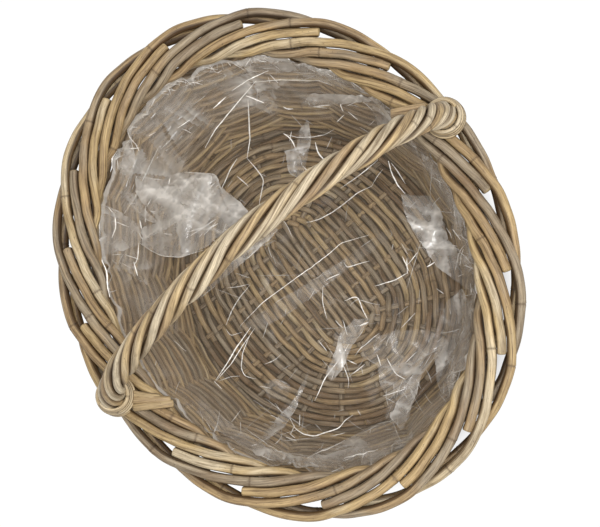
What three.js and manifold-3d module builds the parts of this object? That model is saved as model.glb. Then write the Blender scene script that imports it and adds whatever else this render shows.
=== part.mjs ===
// Oval rattan basket with a roped bow handle, a plaited border and a loose clear film liner.
// Units are millimetres, +Z is up, +X runs along the basket, and the origin is on the ground
// under its middle. Every stake is one rod from the foot of the wall to its cut end in the border.
import * as THREE from 'three';
import Module from 'manifold-3d';
import { mergeVertices } from 'three/addons/utils/BufferGeometryUtils.js';

// Basket outline
const rimLength = 403;
const rimWidth = 342;
const rimHeight = 170;
const footLength = 290;
const footWidth = 252;
const wallThickness = 16;
const wallBow = 4;
const seat = 0.3;

// Rods of the border, which are the stakes of the wall
const stakeCount = 18;
const rodDiameter = 6.6;
const rodGap = 0.9;
const channelGap = 0.6;
const stakeFoot = 3;
const stakeLead = 0.95;
const crossingPitches = 1.6;
const cutEnd = 5.7;
const cutEndAtBow = 5.62;
const wallInset = 6;

// Bands of the wall and the base
const footBandHeight = 18;
const topBandHeight = 12;
const bandBulge = 1.5;
const sideRows = 12;
const rowOutside = 7.2;
const rowBetween = 1;
const rowInside = 5.2;
const baseLift = 2;
const baseThickness = 11;
const baseTurn = 5.5;
const stickDiameter = 4.4;
const shortStickCount = 2;
const shortStickSpacing = 44;
const longStickCount = 4;
const longStickSpacing = 6.2;
const fanStart = 46;
const fanStep = 26;
const sideStickAngles = [64, 87];
const sideStickSpacing = 9;

// Bow handle
const handleTurn = 7;
const handleRise = 136;
const archFoot = 12;
const archRoundness = 1.65;
const bowStation = 5.7;
const bowOffset = 7.6;
const bowBend = 30;
const bowDiameter = 6.6;
const bowDepth = 76;
const strandCount = 6;
const strandDiameter = 5.8;
const strandGap = 0.6;
const strandLead = 105;
const strandLift = 3;

// Collar wound round each foot of the handle
const collarDiameter = 4.5;
const collarTurns = 3.25;
const collarRise = 5.1;
const collarFlare = 2;
const collarTail = 23;

// Film liner
const filmThickness = 0.8;
const filmGap = 0.8;
const foldCount = 14;
const foldDepth = 7;
const linerDrop = 3;

// Facets
const sharpestTurn = 0.36;
const wallStep = 50;
const borderStep = 19;
const stepsPerLead = 12;
const stepsPerTurn = 14;
const rodSides = 5;
const bowSides = 8;
const linerSegments = 56;

const rodRadius = rodDiameter / 2;
const rodSpacing = rodDiameter + rodGap;
const fullTurn = 2 * Math.PI;
const lerp = THREE.MathUtils.lerp;

// The border is a band of rods. Its half width follows from the rods that lie side by side in it:
// two rods share a pitch, so they cross the band at the angle that keeps them one spacing apart.
const rimLevel = rimHeight - rodRadius;
const roughPitch = Math.PI * (rimLength + rimWidth) / 2 / stakeCount;
const roughHalfBand = crossingPitches * rodSpacing / Math.sqrt(1 - (2 * rodSpacing / roughPitch) ** 2);
const edgeRun = 1.22;
const bandReach = edgeRun * roughHalfBand + rodRadius;
const rimHalfLength = rimLength / 2 - bandReach;
const rimHalfWidth = rimWidth / 2 - bandReach;
const rimOval = new THREE.EllipseCurve(0, 0, rimHalfLength, rimHalfWidth);
rimOval.arcLengthDivisions = 720;
const pitch = rimOval.getLength() / stakeCount;
const crossingAngle = Math.asin(2 * rodSpacing / pitch);
const halfBand = crossingPitches * pitch * Math.tan(crossingAngle) / 2;

// The wall stands under the border, and its middle surface leans in towards the foot.
const lowestRod = 1.27 * rodSpacing + rodRadius;
const wallTop = rimLevel - lowestRod - seat;
const topHalfLength = rimHalfLength - wallInset;
const topHalfWidth = rimHalfWidth - wallInset;
const footHalfLength = (footLength - wallThickness) / 2;
const footHalfWidth = (footWidth - wallThickness) / 2;
const wallSurface = wallThickness / 2;

function wallHalfAxes(height) {
  const rise = Math.min(height / wallTop, 1);
  const bow = 4 * wallBow * rise * (1 - rise);
  return [
    lerp(footHalfLength, topHalfLength, rise) + bow,
    lerp(footHalfWidth, topHalfWidth, rise) + bow,
  ];
}

// Share of the rim's length at an angle of the ellipse's own parameter.
function rimShareAt(angle) {
  const lengths = rimOval.getLengths();
  const place = angle / fullTurn * (lengths.length - 1);
  const index = Math.floor(place);
  return lerp(lengths[index], lengths[index + 1], place - index) / lengths.at(-1);
}

const handleAngle = Math.PI / 2 + THREE.MathUtils.degToRad(handleTurn);
const handleParameter = Math.atan2(
  Math.sin(handleAngle) * rimHalfLength,
  Math.cos(handleAngle) * rimHalfWidth,
);
const firstShare = rimShareAt(handleParameter) + bowStation / stakeCount;

// A point of the border or the wall: pitches clockwise along the rim, millimetres outwards
// from the band's middle line, and height above the ground.
function rimPoint(pitches, outwards, height) {
  const share = THREE.MathUtils.euclideanModulo(firstShare - pitches / stakeCount, 1);
  const angle = fullTurn * rimOval.getUtoTmapping(share);
  const [halfLength, halfWidth] = wallHalfAxes(height);
  const length = halfLength + wallInset;
  const width = halfWidth + wallInset;
  const normal = new THREE.Vector3(width * Math.cos(angle), length * Math.sin(angle), 0).normalize();
  return new THREE.Vector3(length * Math.cos(angle), width * Math.sin(angle), height)
    .addScaledVector(normal, outwards);
}

// Ellipse angles of the stakes and of the places half way between them, counter-clockwise.
const columnAngles = Array.from({ length: 2 * stakeCount }, (_, index) => {
  const share = THREE.MathUtils.euclideanModulo(firstShare + (index / 2 + stakeLead) / stakeCount, 1);
  return fullTurn * rimOval.getUtoTmapping(share);
});

// Half turn about the upright axis, which carries one side of the basket onto the other.
function toOtherSide(point) {
  return new THREE.Vector3(-point.x, -point.y, point.z);
}

// A path that passes through stations of its own choice instead of evenly spaced ones.
class StationPath extends THREE.Curve {
  constructor(stations) {
    super();
    this.stations = stations;
    this.last = stations.length - 1;
  }

  getPointAt(share, target = new THREE.Vector3()) {
    return target.copy(this.stations[Math.round(share * this.last)]);
  }

  getTangentAt(share, target = new THREE.Vector3()) {
    const index = Math.round(share * this.last);
    const before = this.stations[Math.max(index - 1, 0)];
    const after = this.stations[Math.min(index + 1, this.last)];
    return target.subVectors(after, before).normalize();
  }
}

// Keeps the points of a fine path where it has turned or run far enough since the last one kept.
function thinOut(points, longestStep, sharpestTurn) {
  const kept = [points[0]];
  const heading = new THREE.Vector3();
  const previous = new THREE.Vector3().subVectors(points[1], points[0]);
  let run = 0;
  let turn = 0;
  for (let i = 1; i < points.length - 1; i += 1) {
    heading.subVectors(points[i + 1], points[i]);
    run += previous.length();
    turn += previous.angleTo(heading);
    previous.copy(heading);
    if (run > longestStep || turn > sharpestTurn) {
      kept.push(points[i]);
      run = 0;
      turn = 0;
    }
  }
  kept.push(points.at(-1));
  return kept;
}

// A round rod of one diameter through a list of stations.
function rodGeometry(stations, diameter, sides = rodSides) {
  const corners = [];
  for (let i = 0; i < sides; i += 1) {
    const angle = fullTurn * i / sides;
    corners.push(new THREE.Vector2(Math.cos(angle), Math.sin(angle)).multiplyScalar(diameter / 2));
  }
  return new THREE.ExtrudeGeometry(new THREE.Shape(corners), {
    steps: stations.length - 1,
    bevelEnabled: false,
    extrudePath: new StationPath(stations),
  });
}

// A solid swept round the oval, through a list of angles. A profile point is a share of the oval's
// size, an offset outwards from the wall's middle surface, and a height; ripple moves a point in
// or out by its angle's place in the list, its height and its offset.
function ovalGeometry(profile, angles, ripple = () => 0) {
  const outline = profile.map((_, index) => new THREE.Vector2(1, index));
  const geometry = new THREE.LatheGeometry(outline, angles.length);
  const positions = geometry.attributes.position;
  for (let i = 0; i <= angles.length; i += 1) {
    const column = i % angles.length;
    const angle = angles[column];
    profile.forEach(([share, offset, height], j) => {
      const [halfLength, halfWidth] = wallHalfAxes(height);
      const out = offset + ripple(column, height, offset);
      const x = share * (halfLength + out) * Math.cos(angle);
      const y = share * (halfWidth + out) * Math.sin(angle);
      positions.setXYZ(i * profile.length + j, x, y, height);
    });
  }
  return geometry;
}

const library = await Module();
library.setup();

function toSolid(geometry) {
  const bare = geometry.clone();
  bare.deleteAttribute('normal');
  bare.deleteAttribute('uv');
  const merged = mergeVertices(bare);
  return new library.Manifold(new library.Mesh({
    numProp: 3,
    vertProperties: new Float32Array(merged.attributes.position.array),
    triVerts: new Uint32Array(merged.index.array),
  }));
}

function toGeometry(solid) {
  const mesh = solid.getMesh();
  const geometry = new THREE.BufferGeometry();
  geometry.setAttribute('position', new THREE.BufferAttribute(mesh.vertProperties, 3));
  geometry.setIndex(new THREE.BufferAttribute(mesh.triVerts, 1));
  return geometry;
}

const basket = new THREE.Group();

function addPiece(name, geometry, color, roughness = 0.75) {
  const material = new THREE.MeshStandardMaterial({ color, roughness, metalness: 0 });
  const mesh = new THREE.Mesh(geometry, material);
  mesh.name = name;
  basket.add(mesh);
  return mesh;
}

// Route of one stake through the border: pitches along, half bands outwards, rod spacings up.
// It rises in the wall, crosses the top from the inside out, rounds the outer edge, goes back
// under the others, comes up again on the inside and crosses the top to its cut end.
function topLane(pitches, start) {
  return [pitches, 2 * (pitches - start) / crossingPitches - 1, 0];
}
const wallLane = -wallInset / halfBand;
const stakeHeight = (rimLevel - stakeFoot) / rodSpacing;
const stakeRoute = [
  [-stakeLead, wallLane, -stakeHeight],
  [-stakeLead, wallLane, -stakeHeight * 0.6],
  [-stakeLead, wallLane, -4],
  [-0.93, -0.5, -3.3],
  [-0.83, -0.62, -2.3],
  [-0.57, -0.98, -1.36],
  [-0.28, -1.18, -0.68],
  [0.02, -0.97, -0.07],
  topLane(0.2, 0),
  topLane(1.48, 0),
  [1.8, 1.17, -0.08],
  [2.11, edgeRun, -0.37],
  [2.41, 1.15, -0.8],
  [2.72, 0.94, -1.1],
  [3.0, 0.6, -1.16],
  [3.74, -0.58, -1.22],
  [4.04, -1.02, -1.07],
  [4.24, -1.2, -0.76],
  [4.5, -1.04, -0.14],
  topLane(4.65, 4.5),
];

function smoothPath(points) {
  const curve = new THREE.CatmullRomCurve3(points, false, 'centripetal');
  curve.arcLengthDivisions = 2000;
  return curve;
}

function stakeStations(number) {
  const end = topLane(number === 0 ? cutEndAtBow : cutEnd, 4.5);
  const flatPoints = [...stakeRoute, end].map(
    ([along, out, up]) => new THREE.Vector3(along * pitch, out * halfBand, up * rodSpacing),
  );
  const points = smoothPath(flatPoints).getSpacedPoints(500)
    .map(({ x, y, z }) => rimPoint(x / pitch + number, y, rimLevel + z));
  const bend = points.findIndex((point) => point.z > wallTop - topBandHeight);
  const inWall = thinOut(points.slice(0, bend), wallStep, sharpestTurn);
  return [...inWall.slice(0, -1), ...thinOut(points.slice(bend), borderStep, sharpestTurn)];
}

const stakeColors = [0xa48a5e, 0x9c8f78, 0x8b7350, 0xb09a6c, 0x948a78, 0xa0835a];

// Holes that the wall keeps on both sides for a rod, from just past its lower end to above the wall.
const channels = [];
function addChannel(stations, diameter, sides) {
  const exit = stations.findIndex((point) => point.z > wallTop);
  const inWall = stations.slice(0, exit + 2);
  const below = inWall[0].clone();
  below.z -= channelGap;
  const channel = rodGeometry([below, ...inWall.slice(1)], diameter + 2 * channelGap, sides);
  channels.push(channel, channel.clone().rotateZ(Math.PI));
}

function stakeName(number) {
  return `stake_${String(number + 1).padStart(2, '0')}`;
}

// The far half of the stakes is the near half turned about the upright axis.
const halfStakes = stakeCount / 2;
for (let i = 0; i < halfStakes; i += 1) {
  const stations = stakeStations(i);
  const stake = rodGeometry(stations, rodDiameter);
  const color = stakeColors[i % stakeColors.length];
  const farColor = stakeColors[(i + halfStakes) % stakeColors.length];
  addPiece(stakeName(i), stake, color);
  addPiece(stakeName(i + halfStakes), stake.clone(), farColor).rotation.z = Math.PI;
  addChannel(stations, rodDiameter, rodSides);
}

// The bow of the handle goes down between two rods of the border into the wall.
const bowFoot = [
  [-wallInset, -bowDepth],
  [-wallInset, -0.62 * bowDepth],
  [-0.25 * wallInset, -bowBend],
  [0.37 * bowOffset, -0.53 * bowBend],
  [0.63 * bowOffset, -0.2 * bowBend],
  [0.9 * bowOffset, archFoot / 3],
];
const bowFootPoints = bowFoot.map(([out, up]) => rimPoint(bowStation, out, rimLevel + up));
const archStart = rimPoint(bowStation, bowOffset, rimLevel + archFoot);
const halfSpan = Math.hypot(archStart.x, archStart.y);
const spanDirection = new THREE.Vector3(archStart.x, archStart.y, 0).normalize();
const archPoints = [];
const archSteps = 16;
for (let step = 0; step <= archSteps; step += 1) {
  const angle = Math.PI * step / archSteps;
  const across = Math.sign(Math.cos(angle)) * Math.abs(Math.cos(angle)) ** (2 / archRoundness);
  const up = Math.abs(Math.sin(angle)) ** (2 / archRoundness);
  const point = spanDirection.clone().multiplyScalar(halfSpan * across);
  point.z = rimLevel + archFoot + (handleRise - archFoot) * up;
  archPoints.push(point);
}
const bowCurve = smoothPath([
  ...bowFootPoints,
  ...archPoints,
  ...bowFootPoints.map(toOtherSide).reverse(),
]);
const bowLength = bowCurve.getLength();
const bowPoints = bowCurve.getSpacedPoints(600);
const bowStations = thinOut(bowPoints, borderStep, sharpestTurn / 2);
addPiece('handle_bow', rodGeometry(bowStations, bowDiameter, bowSides), 0x8d7a58);
addChannel(bowStations, bowDiameter, bowSides);

// Frame of the handle at a share of the bow's length: its middle, the direction across the
// handle's plane, and the direction square to both.
const acrossPlane = new THREE.Vector3(0, 0, 1).cross(spanDirection);
function handleFrame(share) {
  const middle = bowCurve.getPointAt(share);
  const square = bowCurve.getTangentAt(share).cross(acrossPlane).normalize();
  return { middle, square };
}

function bowShareAtHeight(height) {
  const index = bowPoints.findIndex((point) => point.z > height);
  return index / (bowPoints.length - 1);
}

// Strands laid round the bow to the left, from the top of the border at one foot to the other.
const strandRadius = (bowDiameter + strandDiameter) / 2 + strandGap;
const strandStart = bowShareAtHeight(rimHeight + strandLift);
for (let number = 0; number < strandCount; number += 1) {
  const stations = [];
  const steps = Math.round(stepsPerLead * bowLength * (1 - 2 * strandStart) / strandLead);
  for (let step = 0; step <= steps; step += 1) {
    const share = lerp(strandStart, 1 - strandStart, step / steps);
    const angle = fullTurn * (number / strandCount - bowLength * (share - 0.5) / strandLead);
    const { middle, square } = handleFrame(share);
    middle.addScaledVector(acrossPlane, strandRadius * Math.cos(angle));
    middle.addScaledVector(square, strandRadius * Math.sin(angle));
    stations.push(middle);
  }
  const color = number % 3 === 1 ? 0xb59a62 : 0xaea28a;
  addPiece(`handle_strand_${number + 1}`, rodGeometry(stations, strandDiameter), color);
}

// A collar winds down round the foot of the handle and ends in a tail that runs inwards
// across the border.
const collarRadius = strandRadius + strandDiameter / 2 + collarDiameter / 2 + 2 * seat;
const collarBottom = rimHeight + seat + collarDiameter / 2;
function collarStations() {
  const stations = [];
  const steps = Math.round(stepsPerTurn * collarTurns);
  const outwards = spanDirection;
  const along = new THREE.Vector3(-outwards.y, outwards.x, 0);
  for (let step = 0; step <= steps; step += 1) {
    const turns = collarTurns * (1 - step / steps);
    const angle = -fullTurn * turns;
    const height = collarBottom + collarRise * turns;
    const radius = collarRadius + collarFlare * (1 - turns / collarTurns);
    const middle = bowCurve.getPointAt(bowShareAtHeight(height));
    middle.z = height;
    middle.addScaledVector(along, radius * Math.cos(angle));
    middle.addScaledVector(outwards, -radius * Math.sin(angle));
    stations.push(middle);
  }
  stations.push(stations.at(-1).clone().addScaledVector(outwards, -collarTail));
  return stations;
}
const collar = collarStations();
addPiece('handle_collar_right', rodGeometry(collar, collarDiameter), 0xa39062);
addPiece('handle_collar_left', rodGeometry(collar.map(toOtherSide), collarDiameter), 0xa39062);

// Least gap of a winding to itself, between points at least half a turn apart.
function leastGap(stations, diameter, apart) {
  const path = smoothPath(stations);
  const samples = 400;
  const points = path.getSpacedPoints(samples);
  const skip = Math.ceil(apart / path.getLength() * samples);
  let least = Infinity;
  for (let i = 0; i < points.length; i += 1) {
    for (let j = i + skip; j < points.length; j += 1) {
      least = Math.min(least, points[i].distanceTo(points[j]) - diameter);
    }
  }
  return least;
}
const collarGap = leastGap(collar, collarDiameter, Math.PI * collarRadius);
console.log(`collar: least gap to itself ${collarGap.toFixed(2)} mm`);

// The base: short sticks across it and long ones on top of them, held in a woven plate inside
// the foot of the wall. The long ones lie side by side in the middle and fan out to both ends,
// and side sticks carry each fan on round to the sides.
const plateOffset = -wallSurface - seat;
const baseTop = baseLift + baseThickness;
const stickChannel = stickDiameter + 2 * seat;
const shortStickHeight = baseLift + seat + stickChannel / 2;
const longStickHeight = baseTop - seat - stickChannel / 2;
const plate = ovalGeometry([
  [0, plateOffset, baseLift],
  [1, plateOffset, baseLift],
  [1, plateOffset, baseTop],
  [0, plateOffset, baseTop],
], columnAngles);
let plateSolid = toSolid(plate);
const [plateHalfLength, plateHalfWidth] = wallHalfAxes(baseLift).map((half) => half + plateOffset);

// How far a stick can run from a point of the base, at an angle to its length, to the wall.
function reachOf(x, y, angle) {
  const [startX, startY] = [x / plateHalfLength, y / plateHalfWidth];
  const [stepX, stepY] = [Math.cos(angle) / plateHalfLength, Math.sin(angle) / plateHalfWidth];
  const square = stepX ** 2 + stepY ** 2;
  const middle = (startX * stepX + startY * stepY) / square;
  return Math.sqrt(middle ** 2 + (1 - startX ** 2 - startY ** 2) / square) - middle - wallSurface;
}

// Adds a stick and its hole in the plate, which runs on past the stick's outer ends.
function addStick(name, stationsTo) {
  const [stick, channel] = [[0, stickDiameter], [wallThickness * 2, stickChannel]].map(
    ([more, diameter]) => rodGeometry(stationsTo(more), diameter, bowSides)
      .rotateZ(THREE.MathUtils.degToRad(baseTurn)),
  );
  plateSolid = plateSolid.subtract(toSolid(channel));
  addPiece(name, stick, 0x8a7a5e);
}

for (let i = 0; i < shortStickCount; i += 1) {
  const x = shortStickSpacing * (i - (shortStickCount - 1) / 2);
  const reach = reachOf(x, 0, Math.PI / 2);
  addStick(`base_short_stick_${i + 1}`, (more) => [-1, 1].map(
    (side) => new THREE.Vector3(x, side * (reach + more), shortStickHeight),
  ));
}

// The end of a fanned stick that starts at a point of the base.
function fanEnd(x, y, angle, more) {
  const reach = reachOf(x, y, angle) + more;
  return new THREE.Vector3(x + reach * Math.cos(angle), y + reach * Math.sin(angle), longStickHeight);
}

for (let i = 0; i < longStickCount; i += 1) {
  const place = i - (longStickCount - 1) / 2;
  const y = longStickSpacing * place;
  const angle = THREE.MathUtils.degToRad(fanStep * place);
  addStick(`base_long_stick_${i + 1}`, (more) => {
    const end = fanEnd(fanStart, y, angle, more);
    const bend = new THREE.Vector3(fanStart, y, longStickHeight);
    const mirrored = [end, bend].map((point) => point.clone().setX(-point.x));
    return [...mirrored, bend, end];
  });
}

const bundleHalfWidth = (longStickSpacing * (longStickCount - 1) + stickDiameter) / 2;
const sideStickStart = bundleHalfWidth + 2 * stickDiameter;
let sideStickNumber = 0;
sideStickAngles.forEach((degrees, index) => {
  const x = fanStart + sideStickSpacing * (0.5 - index);
  const angle = THREE.MathUtils.degToRad(degrees);
  for (const [alongSign, acrossSign] of [[1, 1], [1, -1], [-1, -1], [-1, 1]]) {
    sideStickNumber += 1;
    addStick(`base_side_stick_${sideStickNumber}`, (more) => {
      const back = Math.min(more, seat);
      const start = new THREE.Vector3(
        x - back * Math.cos(angle),
        sideStickStart - back * Math.sin(angle),
        longStickHeight,
      );
      const side = new THREE.Vector3(alongSign, acrossSign, 1);
      return [start, fanEnd(x, sideStickStart, angle, more)].map((point) => point.multiply(side));
    });
  }
});
addPiece('base_weave', toGeometry(plateSolid), 0x85735a);

// The wall: four bands of weaving on top of each other, pierced by the stakes and the bow.
function walePart(low, high, bulge) {
  const middle = (low + high) / 2;
  const profile = [
    [1, -wallSurface, low],
    [1, wallSurface, low],
    [1, wallSurface + bulge, middle],
    [1, wallSurface, high],
    [1, -wallSurface, high],
    [1, -wallSurface, middle],
    [1, -wallSurface, low],
  ];
  return ovalGeometry(profile, columnAngles);
}

// Rows of side weaving. Each bulges out at one stake and only just covers the next one's channel,
// and the row above it does the opposite. Half way between the stakes all rows lie flat.
function sidePart(low, high) {
  const rowHeight = (high - low) / sideRows;
  const middles = Array.from({ length: sideRows }, (_, index) => low + (index + 0.5) * rowHeight);
  const profile = [
    [1, -rowInside, low],
    ...[low, ...middles, high].map((height) => [1, rowBetween, height]),
    [1, -rowInside, high],
    [1, -rowInside, low],
  ];
  const overStake = rodRadius + channelGap + seat;
  return ovalGeometry(profile, columnAngles, (column, height, offset) => {
    if (offset < 0 || column % 2 === 1) {
      return 0;
    }
    const row = middles.indexOf(height);
    const goesOut = row >= 0 && (row + column / 2) % 2 === 0;
    return (goesOut ? rowOutside : overStake) - rowBetween;
  });
}

const topBandFoot = wallTop - topBandHeight;
const sideSplit = (footBandHeight + topBandFoot) / 2;
const bands = [
  ['foot_wale', walePart(0, footBandHeight, bandBulge)],
  ['side_weave_lower', sidePart(footBandHeight + seat, sideSplit)],
  ['side_weave_upper', sidePart(sideSplit + seat, topBandFoot)],
  ['top_wale', walePart(topBandFoot + seat, wallTop, 0)],
];
for (const [name, solid] of bands) {
  let band = toSolid(solid);
  for (const channel of channels) {
    band = band.subtract(toSolid(channel));
  }
  addPiece(name, toGeometry(band), 0x8c795c);
}

// The liner: a clear film that lines the wall and the base, with upright folds that deepen
// towards its open top. The solid is thicker than the film.
const linerFloor = baseTop + seat;
const linerTop = rimLevel - linerDrop;
const wallOffset = -wallSurface - filmGap;
const borderOffset = wallInset - edgeRun * halfBand - rodRadius - filmGap;
const linerLevels = [
  [wallOffset, linerFloor],
  [wallOffset, lerp(linerFloor, wallTop, 0.15)],
  [wallOffset, lerp(linerFloor, wallTop, 0.5)],
  [wallOffset, lerp(linerFloor, wallTop, 0.8)],
  [borderOffset, wallTop - rodRadius],
  [borderOffset, linerTop],
];
const linerAngles = Array.from({ length: linerSegments }, (_, index) => fullTurn * index / linerSegments);
function linerFold(column, height) {
  const depth = foldDepth * Math.max(height - linerFloor, 0) / (linerTop - linerFloor);
  return -depth * (1 - Math.cos(foldCount * linerAngles[column])) / 2;
}
const outerFilm = linerLevels.map(([offset, height]) => [1, offset, height]);
const innerFilm = linerLevels.map(([offset, height], index) => {
  const inside = index === 0 ? height + filmThickness : height;
  return [1, offset - filmThickness, inside];
});
const linerProfile = [
  [0, wallOffset, linerFloor],
  ...outerFilm,
  ...innerFilm.reverse(),
  [0, wallOffset, linerFloor + filmThickness],
];
addPiece('liner_film', ovalGeometry(linerProfile, linerAngles, linerFold), 0xe4e4e4, 0.15);

export default basket;
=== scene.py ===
# Oval rattan basket with a plaited border, a roped handle and a crumpled clear liner.
# Every cane is a tube carried along its own path, and the liner is one folded sheet of film.
# Sizes are in millimetres until a mesh is written, and X runs along the basket.
import math

import bpy
import numpy as np
from mathutils import Matrix, Vector, geometry


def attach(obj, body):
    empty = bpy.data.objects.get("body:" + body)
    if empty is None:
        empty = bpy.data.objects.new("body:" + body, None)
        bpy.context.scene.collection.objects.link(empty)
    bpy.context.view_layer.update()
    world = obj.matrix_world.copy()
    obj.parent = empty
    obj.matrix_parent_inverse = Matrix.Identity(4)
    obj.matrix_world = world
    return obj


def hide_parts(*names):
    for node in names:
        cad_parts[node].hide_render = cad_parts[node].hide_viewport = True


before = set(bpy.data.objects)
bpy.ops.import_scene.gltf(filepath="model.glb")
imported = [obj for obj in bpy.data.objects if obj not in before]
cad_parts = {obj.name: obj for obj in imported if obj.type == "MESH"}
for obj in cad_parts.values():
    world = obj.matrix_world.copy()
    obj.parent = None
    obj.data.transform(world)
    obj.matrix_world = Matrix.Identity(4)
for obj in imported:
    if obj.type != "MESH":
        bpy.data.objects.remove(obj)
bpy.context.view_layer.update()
print("frame loaded:", len(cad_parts), "nodes")

toMetres = 0.001
fullTurn = 2 * math.pi

basket = {
    "rimLength": 403,
    "rimWidth": 342,
    "rimHeight": 170,
    "footLength": 290,
    "footWidth": 252,
    "wallThickness": 16,
    "wallBow": 4,
    "seat": 0.3,  # gap between parts that rest on each other
    "stakes": 18,
    "stakeAt": -0.95,  # pitches from a rod's number to where it stands in the wall
    "rodPitchAcross": 7.5,  # from the middle of one border rod to the next
    "rodRadius": 3.3,
    "stakeFoot": 3,
    "borderRise": 1.27,  # rod pitches from the border's underside to its top rods
    "crossing": 1.6,  # pitches that a rod takes to cross the border
    "edgeRun": 1.22,  # half bands from the border's middle to where a rod lies farthest out
    "wallInset": 6,
    "handleTurn": 7,  # degrees
    "bowStation": 5.7,  # pitches from the first rod to the bow's right foot
}


# The rim is an ellipse. Its table of arc lengths turns a share of the way round into an angle.
def ellipseTable(halfLength, halfWidth, steps=7200):
    angle = np.linspace(0, fullTurn, steps + 1)
    points = np.stack([halfLength * np.cos(angle), halfWidth * np.sin(angle)], 1)
    return angle, runAlong(points)


# Length of a path up to each of its points: the sum of the steps before it.
def runAlong(path):
    return np.concatenate([[0], np.cumsum(np.linalg.norm(np.diff(path, axis=0), axis=1))])


# The rods cross the border at a slant, and two of them fill each pitch, so the sine of the slant
# is two rod spacings over the pitch. The band's width follows from the pitches that a rod takes.
def borderSizes():
    spacing = basket["rodPitchAcross"]
    roughPitch = math.pi * (basket["rimLength"] + basket["rimWidth"]) / 2 / basket["stakes"]
    roughHalf = basket["crossing"] * spacing / math.sqrt(1 - (2 * spacing / roughPitch) ** 2)
    reach = basket["edgeRun"] * roughHalf + basket["rodRadius"]
    halfLength = basket["rimLength"] / 2 - reach
    halfWidth = basket["rimWidth"] / 2 - reach
    angle, run = ellipseTable(halfLength, halfWidth)
    pitch = run[-1] / basket["stakes"]
    halfBand = basket["crossing"] * pitch * math.tan(math.asin(2 * spacing / pitch)) / 2
    return halfLength, halfWidth, angle, run, pitch, halfBand


rimHalfLength, rimHalfWidth, rimAngles, rimRun, pitch, halfBand = borderSizes()
spacing = basket["rodPitchAcross"]
rimLevel = basket["rimHeight"] - basket["rodRadius"]
wallTop = rimLevel - (basket["borderRise"] * spacing + basket["rodRadius"]) - basket["seat"]


# Half axes of the wall's middle surface: a straight lean from foot to rim, plus a low arch.
def wallHalfAxes(height):
    rise = np.minimum(np.asarray(height, float) / wallTop, 1)
    bow = 4 * basket["wallBow"] * rise * (1 - rise)
    footLength = (basket["footLength"] - basket["wallThickness"]) / 2
    footWidth = (basket["footWidth"] - basket["wallThickness"]) / 2
    topLength = rimHalfLength - basket["wallInset"]
    topWidth = rimHalfWidth - basket["wallInset"]
    halfLength = footLength + (topLength - footLength) * rise + bow
    return halfLength, footWidth + (topWidth - footWidth) * rise + bow


# Share of the way round the rim at which the handle stands: the ellipse's own angle for the
# direction that the handle is turned to, looked up in the table of lengths.
def handleShare():
    turned = math.pi / 2 + math.radians(basket["handleTurn"])
    angle = math.atan2(math.sin(turned) * rimHalfLength, math.cos(turned) * rimHalfWidth)
    return np.interp(angle, rimAngles, rimRun) / rimRun[-1]


firstShare = handleShare() + basket["bowStation"] / basket["stakes"]


# Pitches round the rim become an angle; the point is that angle's place on the oval at its
# height, moved out along the oval's normal. The normals are returned beside the points.
def rimPoints(pitches, outwards, height):
    share = np.mod(firstShare - np.asarray(pitches, float) / basket["stakes"], 1)
    angle = np.interp(share * rimRun[-1], rimRun, rimAngles)
    halfLength, halfWidth = wallHalfAxes(height)
    length, width = halfLength + basket["wallInset"], halfWidth + basket["wallInset"]
    normal = np.stack([width * np.cos(angle), length * np.sin(angle), np.zeros_like(angle)], -1)
    normal /= np.linalg.norm(normal, axis=-1, keepdims=True)
    height = np.broadcast_to(np.asarray(height, float), angle.shape)
    point = np.stack([length * np.cos(angle), width * np.sin(angle), height], -1)
    return point + normal * np.asarray(outwards, float)[..., None], normal


# Centripetal Catmull-Rom curve: each span is a cubic whose end slopes weigh the neighbouring
# spans by the root of their lengths.
def smoothPath(points, perSpan=40):
    points = np.asarray(points, float)
    whole = np.concatenate([[2 * points[0] - points[1]], points, [2 * points[-1] - points[-2]]])
    step = np.maximum(np.linalg.norm(np.diff(whole, axis=0), axis=1) ** 0.5, 1e-4)[:, None]
    before, here, after, beyond = whole[:-3], whole[1:-2], whole[2:-1], whole[3:]
    d0, d1, d2 = step[:-2], step[1:-1], step[2:]
    slope1 = ((here - before) / d0 - (after - before) / (d0 + d1) + (after - here) / d1) * d1
    slope2 = ((after - here) / d1 - (beyond - here) / (d1 + d2) + (beyond - after) / d2) * d1
    t = np.linspace(0, 1, perSpan, endpoint=False)[None, :, None]
    p, q, m, n = (x[:, None, :] for x in (here, after, slope1, slope2))
    cubic = p + m * t + (3 * (q - p) - 2 * m - n) * t**2 + (2 * (p - q) + m + n) * t**3
    return np.concatenate([cubic.reshape(-1, points.shape[1]), points[-1:]])


# Places on a path at wanted lengths along it: each coordinate is interpolated over the length.
def atRuns(path, run, wanted):
    return np.stack([np.interp(wanted, run, path[:, k]) for k in range(path.shape[1])], 1)


# Each vector over its own length.
def unit(vectors):
    return vectors / np.maximum(np.linalg.norm(vectors, axis=-1, keepdims=True), 1e-9)


# Direction at an angle from X: its cosine and its sine.
def wayAt(angle):
    return np.array([math.cos(angle), math.sin(angle)])


# Direction a quarter turn to the left of another.
def leftOf(way):
    return np.array([-way[1], way[0]])


# The same upward direction for every point of a path.
def uprights(path):
    return np.tile([0.0, 0.0, 1.0], (len(path), 1))


# Faces of a grid of corners whose last column meets its first: each corner, the one in the next
# row, its neighbour in the next column and the corner's own neighbour there.
def wrappedQuads(rows, columns):
    row, column = np.meshgrid(np.arange(rows - 1), np.arange(columns), indexing="ij")
    here, beside = row * columns + column, row * columns + (column + 1) % columns
    return np.stack([here, here + columns, beside + columns, beside], -1).reshape(-1, 4)


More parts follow.
